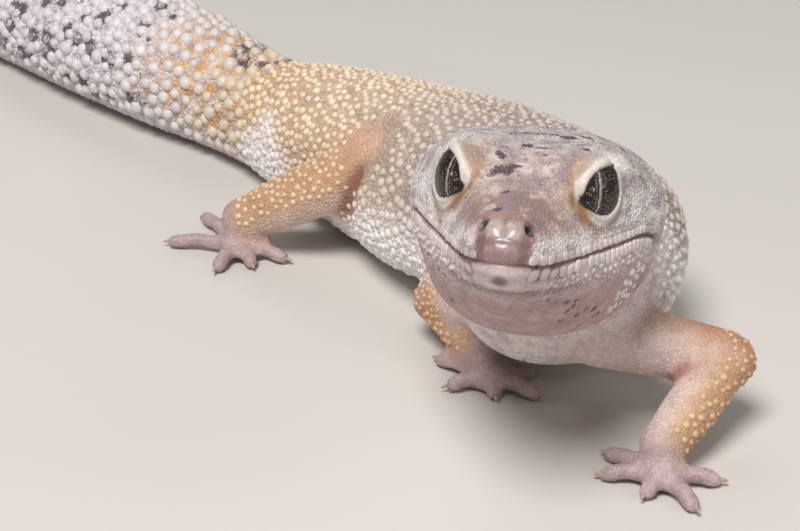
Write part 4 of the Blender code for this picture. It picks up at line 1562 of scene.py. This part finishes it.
# Small lamps that only put a glint in each eye: side, name, and the way to it from the eye.
GLINTS = (
    (1, "left_eye_glint", (0.216, -0.884, 0.414)),
    (-1, "right_eye_glint", (-0.916, 0.255, 0.309)),
)
GLINT_AWAY, GLINT_SIZE, GLINT_POWER = 0.5, 0.045, 0.17


def make_camera():
    camera = bpy.data.cameras.new("camera")
    camera.lens = LENS
    camera.sensor_width = 36.0
    camera.clip_start = 0.01
    holder = new_object("camera", camera)
    holder.location = Vector((MOUTH + CAMERA_FROM_MOUTH) * MM)
    holder.rotation_euler = (math.pi / 2 - CAMERA_DIP, 0, -CAMERA_TURN)
    bpy.context.scene.camera = holder


def make_floor():
    bpy.ops.mesh.primitive_plane_add(size=FLOOR_SIZE, location=(0, 0, 0))
    floor = bpy.context.object
    floor.name = "floor"
    material, tree, shader = new_material("pale_floor")
    fill(tree, shader, Base_Color=FLOOR, Roughness=0.8)
    floor.data.materials.append(material)


def area_light(name, place, size, power, aim):
    light = bpy.data.lights.new(name, "AREA")
    light.shape = "DISK"
    light.size = size
    light.energy = power
    holder = new_object(name, light)
    holder.location = place
    way = Vector(aim) - Vector(place)
    holder.rotation_euler = way.to_track_quat("-Z", "Y").to_euler()


def make_lights():
    for lamp in LAMPS:
        area_light(*lamp)
    for side, name, way in GLINTS:
        eye = EYE_CENTRES[side] * MM
        area_light(name, eye + np.array(way) * GLINT_AWAY, GLINT_SIZE, GLINT_POWER, eye)
    world = bpy.data.worlds.new("studio")
    world.use_nodes = True
    background = world.node_tree.nodes["Background"]
    fill(world.node_tree, background, Color=(0.92, 0.94, 1.0), Strength=0.15)
    bpy.context.scene.world = world
    bpy.context.scene.view_settings.view_transform = "Standard"


# ---- The whole --------------------------------------------------------------------------


def make_skin(material):
    skin, points, triangles, edges, weights = modelled_skin()
    normals = normals_of(points, triangles)
    colour, dark = painted(points, normals, weights)
    clouds, flecks = blooms(points, weights, to_body(points)[2])
    wet = wetness(to_head(points), weights)
    give(skin, "FLOAT_COLOR", hide=colour)
    give(skin, "FLOAT", dark=dark, bloom=clouds, fleck=flecks, wet=wet)
    skin.data.materials.clear()
    skin.data.materials.append(material)
    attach(skin, "root")
    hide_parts(*FLESH)
    return skin, Hide(points, triangles, weights, colour, dark, clouds, flecks)


# The CAD nodes come selected: all are let go, with one left active for the operators.
only(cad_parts["head"])
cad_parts["head"].select_set(False)
make_camera()
make_floor()
make_lights()
one_skin, whole_hide = make_skin(skin_material())
make_coat(whole_hide, SkinMap(one_skin), scale_material())
eye_finish = eye_material()
make_eye(1, "eye_left", eye_finish)
make_eye(-1, "eye_right", eye_finish)
make_claws(claw_material())
